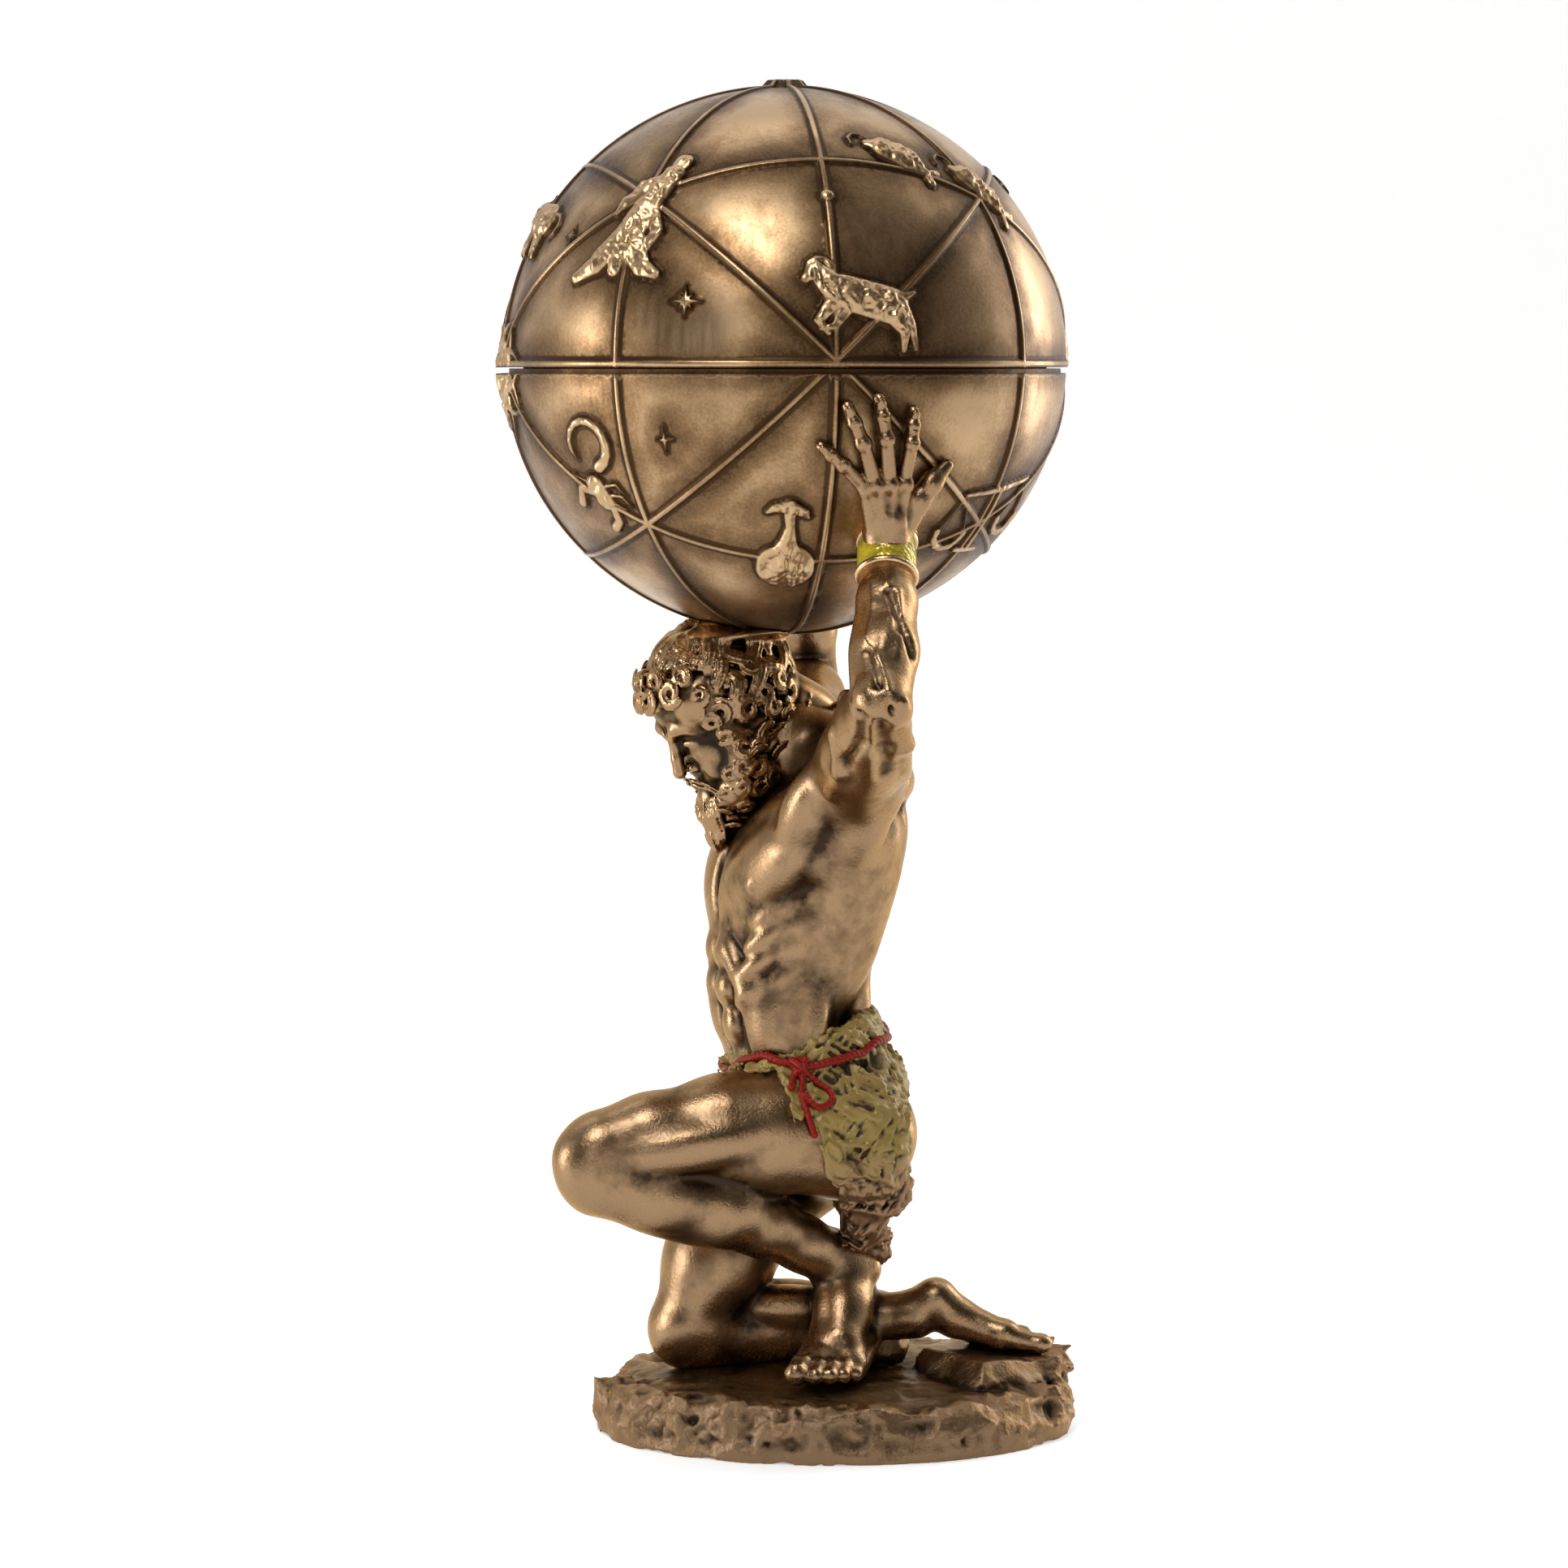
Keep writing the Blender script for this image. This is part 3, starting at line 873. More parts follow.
def lock(c, points, width, strands, middle, thick=1.0, count=9, tip=0.16):
    """A lock of hair: strands side by side along a bent path, thin at its end."""
    path = bend(points, count)
    along = np.gradient(path, axis=0)
    for j in range(strands):
        off = (j - (strands - 1) / 2) / max(1, strands - 1)
        row = []
        for i, (p, a) in enumerate(zip(path, along)):
            t = i / (count - 1)
            taper = min(1.0, 0.6 + 1.6 * t) * (1 - t ** 3 * (1 - tip))
            out = unit(p - middle)
            side = unit(np.cross(a, out))
            rise = (0.25 - off * off) * width * 0.5 * taper
            row.append((p + side * off * width * 0.78 * taper + out * rise,
                        max(0.22, thick * width / strands * 0.52 * taper)))
        c.limb(row, 0.16)


def curl(c, centre, middle, flow, size, turns, sense, strands=3):
    """A snail curl: a small dome with strands that wind inwards to a dimple."""
    out = unit(centre - middle)
    flow = unit(flow - out * (flow @ out))
    side = np.cross(out, flow) * sense
    c.oval(centre - out * 0.40 * size, (flow, np.cross(out, flow), out),
           (0.95 * size, 0.95 * size, 0.55 * size), 0.5)
    points = []
    for i in range(10):
        t = i / 9
        a = -0.5 * math.pi + turns * 2 * math.pi * t
        r = size * (0.86 - 0.44 * t)
        lift = size * (0.26 + 0.10 * t)
        points.append(centre + (flow * math.cos(a) + side * math.sin(a)) * r + out * lift)
    lock(c, points, size * 0.86, strands, middle, 1.05, 15, 0.45)
    c.ball(centre + out * size * 0.34, size * 0.15, 0.25, carve=True)


def hair(c):
    rng = np.random.default_rng(11)
    mid = H(-3.4, 0, 5.0)

    def surface(a, e, over=0.0):
        a, e = math.radians(a), math.radians(e)
        return H(-3.2 + (14.8 + over) * math.cos(e) * math.cos(a), (13.6 + over) * math.cos(e) * math.sin(a),
                 6.6 + (13.8 + over) * math.sin(e))

    # Combed locks from the crown down and forwards over the sides, and back to the nape.
    for start, end, count, width in ((80, 40, 15, 4.4), (62, 22, 18, 4.2), (42, 4, 20, 3.8),
                                     (20, -18, 18, 3.6)):
        for i in range(count):
            a = -180 + 360 * (i + 0.5 * (end % 4 == 0)) / count + rng.uniform(-4, 4)
            if end < 10 and abs(a) < 66:
                continue
            sway = rng.uniform(8, 15) * (1 if i % 3 else -1)
            low = end if abs(a) > 62 or end > 30 else max(end, 36)
            steps = [(a + sway * math.sin(k * 1.5) * 0.8, start + (low - start) * k / 4) for k in range(5)]
            points = [surface(sa, se, 0.7 + 1.3 * math.sin(math.pi * k / 4))
                      for k, (sa, se) in enumerate(steps)]
            lock(c, points, width * rng.uniform(0.9, 1.15), 4, mid, count=11)
    # Snail curls round the forehead and temples, and in rows over the sides and the nape.
    for f, l, u, size in ((12.9, 2.6, 13.6, 2.9), (10.6, 5.4, 17.2, 2.5), (9.6, 8.6, 13.6, 3.3),
                          (6.6, 10.6, 16.0, 2.4), (5.4, 12.4, 10.8, 3.0), (8.0, 10.6, 8.4, 2.5),
                          (3.6, 12.8, 5.4, 2.9), (-1.6, 13.4, 9.2, 3.0), (-1.4, 14.2, 2.8, 3.3),
                          (-6.6, 13.6, 3.6, 3.1), (-7.0, 13.4, 10.6, 2.8), (-11.4, 11.6, 7.2, 3.1),
                          (-12.4, 11.4, 0.2, 3.1), (2.2, 12.4, -2.4, 2.6), (-3.4, 13.6, -3.6, 2.9),
                          (-8.4, 12.6, -3.6, 2.9), (-14.6, 8.6, -6.0, 2.8), (-9.4, 11.4, -9.6, 2.8),
                          (-16.4, 7.6, 4.6, 3.0), (-3.6, 11.8, -9.6, 2.8), (6.4, 12.2, 4.2, 2.3),
                          (5.6, 13.2, 0.2, 2.2), (0.8, 14.2, -6.6, 2.6),
                          (-6.8, 14.2, -0.2, 2.6), (-11.6, 12.6, 3.8, 2.6)):
        for s in (1, -1):
            p = H(f, l * s, u)
            curl(c, p, mid, HU * rng.uniform(-1, 0.2) + HF * rng.uniform(-0.6, 0.6)
                 + HL * 0.3 * rng.uniform(-1, 1),
                 size * rng.uniform(0.94, 1.1), rng.uniform(0.85, 1.15), s if rng.random() > 0.35 else -s, 3
                 if size < 3 else 4)
    for f, l, u, size in ((13.4, -2.2, 14.0, 2.9), (12.0, 0.4, 17.2, 2.6), (-17.8, 0, -2, 3.0),
                          (-17.2, 3.4, -7, 2.8), (-17.2, -3.4, -7, 2.8), (-14.0, 0, -11.5, 2.8),
                          (-18.6, 0, 5.0, 3.1), (-16.6, 4.4, 10.4, 3.0), (-16.6, -4.4, 10.4, 3.0),
                          (-12.0, 5.0, -13.0, 2.6), (-12.0, -5.0, -13.0, 2.6)):
        curl(c, H(f, l, u), H(-6, 0, 3), -HU + HL * rng.uniform(-0.8, 0.8), size, 1.0, 1
             if rng.random() > 0.5 else -1)
    # Beard: curls along the jaw and chin, combed strands down its front, and the moustache.
    low = H(3, 0, -8)
    for s in (1, -1):
        for f, l, u, size in ((3.6, 14.0, -4.2, 2.5), (5.6, 12.8, -8.0, 2.4), (2.6, 12.6, -9.8, 2.5),
                              (7.4, 10.8, -12.0, 2.5), (8.2, 10.6, -8.0, 2.0), (4.0, 10.6, -14.0, 2.6),
                              (10.4, 8.2, -12.0, 2.1), (8.4, 7.6, -16.6, 2.4), (12.6, 5.4, -15.6, 2.2),
                              (12.0, 4.6, -19.4, 2.2), (0.2, 11.4, -13.4, 2.6),
                              (9.4, 3.4, -19.6, 2.3)):
            curl(c, H(f, l * s, u), low, -HU + HF * 0.5 * rng.uniform(-1, 1)
                 + HL * s * 0.5 * rng.uniform(-1, 1),
                 size, 0.95, s if rng.random() > 0.35 else -s)
        for k in range(3):
            l0 = 0.7 + 1.9 * k
            lock(c, [H(13.6 - 0.5 * k, l0 * s, -12.0), H(16.0 - 0.7 * k, (l0 + 0.9) * s, -15.4),
                     H(15.8 - 0.6 * k, (l0 * 0.8 + 0.1) * s, -18.8),
                     H(17.4 - 1.0 * k, (l0 * 0.55 + 0.7) * s, -21.6),
                     H(17.0 - 0.9 * k, (l0 * 0.3 + 0.2) * s, -24.4 + 0.8 * k)], 2.6, 3, low, count=12)
        lock(c, [H(14.2, 0.3 * s, -7.2), H(13.8, 2.6 * s, -8.2), H(12.3, 5.0 * s, -10.2),
                 H(11.4, 6.6 * s, -13.0)], 3.0, 3, H(4, 0, -4), 0.8, count=12)
        lock(c, [H(12.8, 1.2 * s, -11.6), H(12.6, 2.8 * s, -12.8), H(11.6, 4.0 * s, -14.4)], 1.7, 3, low)
        # Brow hairs.
        for k in range(4):
            lock(c, [H(12.4 - 0.55 * k, (2.0 + 1.6 * k) * s, 4.4 + 0.5 * k),
                     H(12.0 - 0.6 * k, (3.4 + 1.7 * k) * s, 5.6 + 0.2 * k)], 0.9, 2, mid, count=4)


clay = Clay((-40, -24, 127), (14, 23, 182), 0.33)
face(clay)
hair_base(clay)
hair(clay)
# A thin pad on the crown carries the globe, which is seated in it.
clay.oval(V(-11.0, -1.0, 178.2), (V(1, 0, 0.10), V(0, 1, 0), V(-0.10, 0, 1)), (15.0, 13.5, 2.6), 1.6)
part, (x, y, z) = clay.grid()
seat = (np.sqrt(((x - GLOBE[0]) / (WIDE + 0.2)) ** 2 + ((y - GLOBE[1]) / (WIDE + 0.2)) ** 2
                + ((z - GLOBE[2]) / (HIGH + 0.2)) ** 2) - 1) * WIDE
clay.field[part] = np.maximum(clay.field[part], -seat)
head = clay.piece("head", 176000)
head.data.materials.append(bronze("hair_bronze", (0.30, 0.188, 0.098), (0.020, 0.011, 0.006), 0.26, 0.42, 1.2,
                                  0.12, 0.66))
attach(head, "root")
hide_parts("figure_and_rock")

# ---- Bracelets
# One round each wrist: two bright rims with a band of yellow-green enamel between them.
enamel = bpy.data.materials.new("enamel")
enamel.use_nodes = True
n, link = enamel.node_tree.nodes, enamel.node_tree.links.new
shader = n["Principled BSDF"]
place = n.new("ShaderNodeTexCoord")
chips = n.new("ShaderNodeTexVoronoi")
chips.inputs["Scale"].default_value = 900
link(place.outputs["Object"], chips.inputs["Vector"])
cloud = n.new("ShaderNodeTexNoise")
cloud.inputs["Scale"].default_value = 260
cloud.inputs["Detail"].default_value = 6
link(place.outputs["Object"], cloud.inputs["Vector"])
tint = colour_ramp(n, (0.34, (0.17, 0.15, 0.012)), (0.72, (0.66, 0.50, 0.03)))
link(cloud.outputs["Fac"], tint.inputs["Fac"])
link(tint.outputs["Color"], shader.inputs["Base Color"])
shader.inputs["Metallic"].default_value = 0.35
shader.inputs["Roughness"].default_value = 0.30
bump = n.new("ShaderNodeBump")
bump.inputs["Strength"].default_value = 0.8
bump.inputs["Distance"].default_value = 0.0003
link(chips.outputs["Distance"], bump.inputs["Height"])
link(bump.outputs[0], shader.inputs["Normal"])
rim_bronze = bronze("rim_bronze", (0.60, 0.40, 0.22), (0.07, 0.035, 0.016), 0.22, 0.45, 0.5, 0.3)
STEPS_ROUND = 96
for s, side in ((1, "near"), (-1, "far")):
    shift, sh, wr, el = arm_joints(s)
    fore = unit((wr - el) * V(0.35, 1, 1))
    turned = Vector(fore).to_track_quat("Z", "Y").to_matrix().transposed()
    for part_name, t, profile in (
            ("rim_low", -4.9, ((5.2, -1.0), (6.5, -1.0), (6.9, -0.5), (6.9, 0.1), (6.5, 0.6), (5.6, 0.9))),
            ("band", 0.0, ((5.2, -4.4), (6.15, -4.4), (6.3, -1.5), (6.3, 1.5), (6.15, 4.3), (5.2, 4.3))),
            ("rim_high", 5.0, ((5.6, -1.3), (6.5, -1.2), (6.75, -0.5), (6.6, 0.3), (6.75, 1.0), (6.3, 1.6),
                               (5.0, 1.6)))):
        middle = wr + fore * (t + 0.6)
        verts, faces = [], []
        k = len(profile)
        for i in range(STEPS_ROUND):
            a = 2 * math.pi * i / STEPS_ROUND
            verts += [(Vector((r * math.cos(a), r * 0.97 * math.sin(a), h)) @ turned + Vector(middle)) * MM
                      for r, h in profile]
            here, beside = i * k, (i + 1) % STEPS_ROUND * k
            faces += [(here + j, beside + j, beside + j + 1, here + j + 1) for j in range(k - 1)]
        faces += [(i * k + k - 1, (i + 1) % STEPS_ROUND * k + k - 1, (i + 1) % STEPS_ROUND * k, i * k)
                  for i in range(STEPS_ROUND)]
        data = bpy.data.meshes.new(f"{side}_{part_name}")
        data.from_pydata(verts, [], faces)
        ring = into_scene(bpy.data.objects.new(f"{side}_{part_name}", data))
        modify(ring, "BEVEL", width=0.0002, segments=3, angle_limit=0.5)
        bpy.ops.object.shade_smooth()
        ring.data.materials.append(enamel if part_name == "band" else rim_bronze)
        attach(ring, "root")
        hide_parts("figure_and_rock")

# ---- Pelt
# A beast's skin round the hips: a rolled upper edge, matted fur in strokes, folds over the seat,
# a paw on the near thigh, a ragged hem and a tail that hangs behind the near ankle. The yellow is
# brushed over the upper fur only; below the seat the pelt stays bare bronze.
def belt_point(angle, out=0.0):
    f = -2.3 + (15.2 + out) * math.cos(angle)
    l = (18.4 + out) * math.sin(angle)
    return T(f, l, 87.0 - 4.2 * math.cos(angle))


pelt_clay = Clay((-24, -32, 30), (36, 32, 98), 0.42)
part, (x, y, z) = pelt_clay.grid()
where = np.stack(np.broadcast_arrays(x, y, z), axis=-1).reshape(-1, 3)
under = np.concatenate([body.at(body.field, some)
                        for some in np.array_split(where, 8)]).reshape(pelt_clay.field.shape)
del where
pelt_clay.field[part] = under - 1.3
for s in (1, -1):
    pelt_clay.ball(T(-2.4, 10.0 * s, 67.0), (10.2, 11.4, 13.6), 3)
    pelt_clay.muscle(T(-3, 20.2 * s, 84), T(-9, 18.8 * s, 58), 9, 4.5, TL * s, 3)
pelt_clay.limb([(belt_point(math.radians(10 * i)) + V(0, 0, -1.4), 3.4) for i in range(37)], 2)
pelt_clay.muscle(V(24.4, -8, 66), V(24.6, -6, 50), 5.5, 2.8, V(1, 0, 0), 2)
pelt_clay.muscle(V(18.0, -13, 62), V(17.2, -10, 46), 4.6, 3.0, V(0, -1, 0), 2)
pelt_clay.muscle(T(12, 0, 78), T(9, 0, 62), 8, 4, TF, 3)
for y_side in (-9, 9):
    pelt_clay.limb([(V(16.4, y_side, 87), 5.6), (V(20.4, y_side, 78), 6.4), (V(21.2, y_side, 66), 6.2),
                    (V(21.4, y_side * 0.8, 55), 5.4)], 3)
# Folds, then the hem that rises over both thighs.
fold = noise(x / 16, y / 16, z / 5.2 + x / 26, 21)
pelt_clay.field += (-1.2 * np.clip(1 - np.abs(fold) * 2.4, 0, 1) * np.clip((80 - z) / 6, 0, 1)
                    + 0.5).astype(np.float32)
low_near = np.interp(x, [-24, -14, -8, -1, 0.5, 2, 4, 7, 9, 9.8, 11.5, 12, 12.6],
                     [92, 85, 83.5, 83, 79, 76.5, 74, 71, 67, 64, 62.5, 54, 44])
low_far = np.interp(x, [-22, -6, 4, 12], [72, 68, 60, 48])
low = np.where(y < 3, low_near, low_far)
ragged = 1.6 * noise(x / 2.6, y / 2.6, 0 * z, 22) + 1.0 * noise(x / 1.2, y / 1.2, 0 * z, 23)
hem = (low + ragged - z) * 0.75
top = (z - (86.8 + 0.30 * x) + 0.7 * noise(x / 2.2, y / 2.2, z / 2.2, 24)) * 0.9
solid = np.maximum(np.maximum(np.maximum(pelt_clay.field, hem), top), (x - 27.4) * 0.9)
pelt_clay.field[part] = np.maximum(solid, -(under + 2.2))
# Rolled edge, paw, flap and tail.
for i in range(72):
    a = math.radians(5 * i)
    p = belt_point(a) + V(0, 0, 1.6)
    pelt_clay.limb([(p, 2.2), (belt_point(a + 0.09) + V(0, 0, 1.6), 2.2)], 0.8)
pelt_clay.limb([(V(10.6, -28.0, 67), 2.5), (V(11.8, -26.8, 63), 2.7), (V(13.7, -24.4, 60), 2.2)], 1.4)
for k in range(3):
    pelt_clay.ball(V(10.4 + 1.5 * k, -28.2 + 0.9 * k, 62.2 - 0.7 * k), 1.15, 0.4)
pelt_clay.limb([(V(19, -9, 57), 5.6), (V(18, -5, 48), 4.6), (V(17.6, -3, 43.5), 3.4)], 2)
pelt_clay.limb([(V(17.6, -4, 46), 3.4), (V(19.8, 0, 43.5), 3.6), (V(20.8, 2, 39.5), 3.0),
                (V(19.6, 3, 35.5), 1.6), (V(18.2, 3, 33.5), 0.6)], 0.8)
pelt_clay.limb([(V(25.5, -6, 56), 2.8), (V(26.4, -6, 52.5), 1.6), (V(26.0, -6.4, 50.0), 0.6)], 1.2)
# Fur: strokes in three directions that take over from one another in patches.
patch = noise(x / 7, y / 7, z / 7, 31)
fur = 0
for k, (lean, seed) in enumerate(((0.25, 32), (1.0, 33), (-0.7, 34))):
    across = x * math.cos(lean) + z * math.sin(lean)
    along = -x * math.sin(lean) + z * math.cos(lean)
    stroke = noise(across / 0.78, y / 0.78, along / 3.2, seed)
    weight = np.clip(1.4 - np.abs(patch - (k - 1) * 0.42) * 3.2, 0, 1)
    fur = fur + stroke * weight
tuft = noise(x / 2.6, y / 2.6, z / 4.5, 35)
pelt_clay.field += (0.95 * fur + 0.30 * tuft).astype(np.float32)
del fold, low_near, low_far, low, ragged, hem, top, solid, patch, tuft, stroke, across, along, weight
pelt = pelt_clay.piece("pelt", 125000)
hollow = np.empty(len(pelt.data.vertices), np.float32)
pelt.data.attributes["hollow"].data.foreach_get("value", hollow)
hollow += (0.20 * pelt_clay.at(fur, places(pelt))).astype(np.float32)
pelt.data.attributes["hollow"].data.foreach_set("value", hollow)
del fur
coat = bronze("painted_fur", (0.26, 0.180, 0.052), (0.026, 0.015, 0.007), 0.46, 0.64, 1.8, 0.35, 0.70)
n, link = coat.node_tree.nodes, coat.node_tree.links.new
shader = n["Principled BSDF"]
painted = next(node for node in n if node.type == "VALTORGB")
bare = colour_ramp(n, (0, (0.27, 0.165, 0.088)), (1, (0.020, 0.012, 0.007)))
link(next(node for node in n if node.type == "GROUP").outputs["Dark"], bare.inputs["Fac"])
place = n.new("ShaderNodeTexCoord")
split = n.new("ShaderNodeSeparateXYZ")
link(place.outputs["Object"], split.inputs[0])
height = n.new("ShaderNodeMapRange")
height.inputs["From Min"].default_value = 0.056
height.inputs["From Max"].default_value = 0.066
link(split.outputs["Z"], height.inputs["Value"])
blend = n.new("ShaderNodeMix")
blend.data_type = "RGBA"
link(height.outputs["Result"], blend.inputs["Factor"])
link(bare.outputs["Color"], blend.inputs[6])
link(painted.outputs["Color"], blend.inputs[7])
link(blend.outputs[2], shader.inputs["Base Color"])
paint = n.new("ShaderNodeMapRange")
paint.inputs["To Min"].default_value = 0.9
paint.inputs["To Max"].default_value = 0.22
link(height.outputs["Result"], paint.inputs["Value"])
link(paint.outputs["Result"], shader.inputs["Metallic"])
pelt.data.materials.append(coat)
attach(pelt, "root")
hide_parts("figure_and_rock")

# ---- Rope
# A red twisted rope round the pelt, tied in a bow with one loop on the near hip.
def rest(p, gap):
    """Moves a point until it lies so far off the pelt."""
    p = np.array(p, float)
    for _ in range(6):
        around = np.array([p] + [p + 0.5 * e for e in np.eye(3)] + [p - 0.5 * e for e in np.eye(3)])
        d = pelt_clay.at(smooth, around)
        slope = d[1:4] - d[4:7]
        size = np.linalg.norm(slope)
        if size < 1e-4:
            break
        p = p - np.clip(d[0] - gap, -1, 1) * slope / size
    return p


smooth = np.minimum(pelt_clay.field, under)
del under
for axis in range(3):
    smooth = (np.roll(smooth, 2, axis) + np.roll(smooth, 1, axis) + smooth
              + np.roll(smooth, -1, axis) + np.roll(smooth, -2, axis)) / 5
rope_clay = Clay((-24, -36, 62), (30, 30, 98), 0.26)
TWIST = 3.6
KNOT_AT = 71
BELOW_ROLL = V(0, 0, 2.0)


def twisted(points, r, count):
    """Three strands wound round the smooth path through the points."""
    path = bend(points, count)
    along = np.gradient(path, axis=0)
    length = np.concatenate([[0], np.cumsum(np.linalg.norm(np.diff(path, axis=0), axis=1))])
    up = V(0.1, 0.2, 1.0)
    frames = []
    for a in along:
        a = unit(a)
        up = unit(up - a * (up @ a))
        frames.append((up, np.cross(a, up)))
    for strand in range(3):
        row = []
        for p, (e, f), run in zip(path, frames, length):
            t = run / TWIST * 2 * math.pi + strand * 2 * math.pi / 3
            row.append((p + (e * math.cos(t) + f * math.sin(t)) * r * 0.50, r * 0.56))
        rope_clay.limb(row, 0.12)


ring = [rest(belt_point(math.radians(KNOT_AT + 10 * i), 2.6) - BELOW_ROLL, 0.7) for i in range(37)]
ring[-1] = ring[0]
twisted(ring, 0.92, 360)
knot = rest(belt_point(math.radians(KNOT_AT), 3.6) - BELOW_ROLL, 1.0)
rope_clay.ball(knot, (1.9, 1.6, 2.1), 0.3)
rope_clay.limb([(knot + V(-1.6, -0.6, 1.3), 0.8), (knot + V(0.2, -1.9, 0.2), 0.9),
                (knot + V(1.5, -0.8, -1.6), 0.8)], 0.15)
rope_clay.limb([(knot + V(1.4, -0.8, 1.6), 0.8), (knot + V(0.2, -1.7, -0.6), 0.8),
                (knot + V(-1.2, -0.8, -1.9), 0.7)], 0.15)
bow = ((((0, 0, 0), (3.6, -0.8, -3.2), (5.9, -0.8, -6.8), (6.0, -1.0, -8.9), (4.1, -1.4, -10.3),
         (2.0, -1.6, -9.8), (1.0, -1.6, -8.4)), 70),
       (((0, 0, 0), (-1.2, -1.0, -2.3), (-2.0, -1.6, -5.3)), 22),
       (((0, 0, 0), (0.5, -1.4, -4.1), (0.0, -1.8, -6.8), (1.2, -2.2, -11.2), (2.9, -2.8, -14.4)), 56))
for steps, count in bow:
    points = []
    for i, step in enumerate(steps):
        p = knot + V(*step)
        points.append(p if i == 0 else rest(p, 0.8))
    twisted(points, 0.72, count)
    rope_clay.ball(points[-1], 0.8, 0.3)
rope = rope_clay.piece("rope", 56000)
red = bronze("painted_rope", (0.20, 0.008, 0.006), (0.018, 0.002, 0.002), 0.40, 0.55, 0.9, 0.25, 0.7)
for label, value in (("Coat Weight", 0.0), ("Specular IOR Level", 0.25), ("Metallic", 0.15)):
    red.node_tree.nodes["Principled BSDF"].inputs[label].default_value = value
for wire in list(red.node_tree.links):
    if wire.to_socket.name == "Metallic":
        red.node_tree.links.remove(wire)
rope.data.materials.append(red)
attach(rope, "root")
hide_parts("figure_and_rock")
del smooth

# ---- Globe
# Two halves of a star globe: nine great-circle ribs and the signs of the zodiac with stars, a sun
# and a moon between them in relief. The halves meet in a dark line just below the middle.
def arc(u, v, r, start, end, count, thick, thin=None):
    thin = thick if thin is None else thin
    out = []
    for i in range(count):
        t = i / (count - 1)
        a = math.radians(start + (end - start) * t)
        out.append((u + r * math.cos(a), v + r * math.sin(a), thick + (thin - thick) * t))
    return out


def star(size, points):
    rays = []
    for i in range(points):
        a = 2 * math.pi * i / points + math.pi / 2
        reach = size if i % 2 == 0 else size * 0.62
        rays.append([(0, 0, size * 0.22), (reach * math.cos(a), reach * math.sin(a), size * 0.05)])
    return rays


def sun(size, rays):
    strokes = [[(0, 0, size * 0.48), (0, 0.01, size * 0.48)]]
    for i in range(rays):
        a = 2 * math.pi * i / rays
        bow = 0.22 if i % 2 else -0.22
        path = []
        for k in range(4):
            r = size * (0.5 + 0.17 * k)
            t = a + bow * math.sin(k * 1.6)
            path.append((r * math.cos(t), r * math.sin(t), size * (0.10 - 0.026 * k)))
        strokes.append(path)
    return strokes


RAM = [[(-4, 1.5, 4.2), (6.5, -1.5, 4.4)], [(-6, 3, 3.2), (-9, 6.5, 2.2), (-11.2, 4.6, 1.3)],
       arc(-8.2, 6.4, 2.6, -60, 220, 8, 1.2, 0.8), [(-6, -1, 2), (-9, -4.6, 1.3), (-7, -7.4, 0.9)],
       [(-3, -2, 1.9), (-5.6, -6, 1.1), (-8.6, -6.4, 0.8)], [(7, -3, 3), (9.5, -7, 1.6), (9.2, -11, 0.9)],
       [(8, -1, 2.6), (11, -5.4, 1.3), (12, -10.6, 0.8)], [(10, 0.6, 1.2), (12, 1.6, 0.7)]]
BULL = [[(-4, 1, 4.6), (7, 0.5, 4.8)], [(-7, 3, 3.6), (-10, 2.6, 2.4)],
        arc(-10, 6, 2.8, -110, 60, 5, 0.9, 0.5), [(-5, -2, 2), (-7.5, -8.5, 1)],
        [(-2, -3, 1.8), (-1.5, -9, 1)], [(7, -3, 2.6), (8, -9.5, 1)],
        [(5, -3, 2), (4.4, -9, 0.9)], arc(12, -1, 3.4, 100, -60, 6, 0.8, 0.5)]
MAIDEN = [[(5.6, 14.6, 2.3), (5.4, 14.0, 2.3)], [(4.8, 11, 2.8), (2.6, 4, 3.2), (0, -4, 4.2)],
          [(4, 10, 1.6), (-1.5, 8.5, 1.3), (-3.4, 4.2, 1.0)], [(1.5, 8, 1.7), (-4, 4.4, 1.5), (-5, 1.6, 1)],
          [(0, -3, 3.6), (-6.5, -10.2, 2.6), (-11.5, -12.6, 1.6)],
          [(1, -5, 3.6), (5, -11, 2.4), (8.5, -12.4, 1.4)],
          [(3, 3, 2), (6.4, -3, 1.7), (4.4, -8, 1.4)], [(-1, -6, 3), (-1.5, -11.5, 2)]]
FISH_ONE = [[(-7, 7, 1.4), (-4, 5, 3.4), (0, 1.5, 3.8), (3, -2.5, 1.5)], [(3, -2.5, 0.9), (6, -2.6, 1.2)],
            [(3, -2.5, 0.9), (3.4, -5.6, 1.2)], arc(-8.4, 8.4, 2.4, -40, 200, 6, 0.5)]
FISH_TWO = [[(-3, 6, 1.4), (0, 3.6, 3.6), (3.4, -0.6, 3.6), (5.6, -5, 1.4)],
            [(5.6, -5, 0.9), (8.6, -5.6, 1.2)],
            [(5.6, -5, 0.9), (4.6, -8.4, 1.2)], arc(-4, 8.2, 2.2, -60, 190, 6, 0.5)]
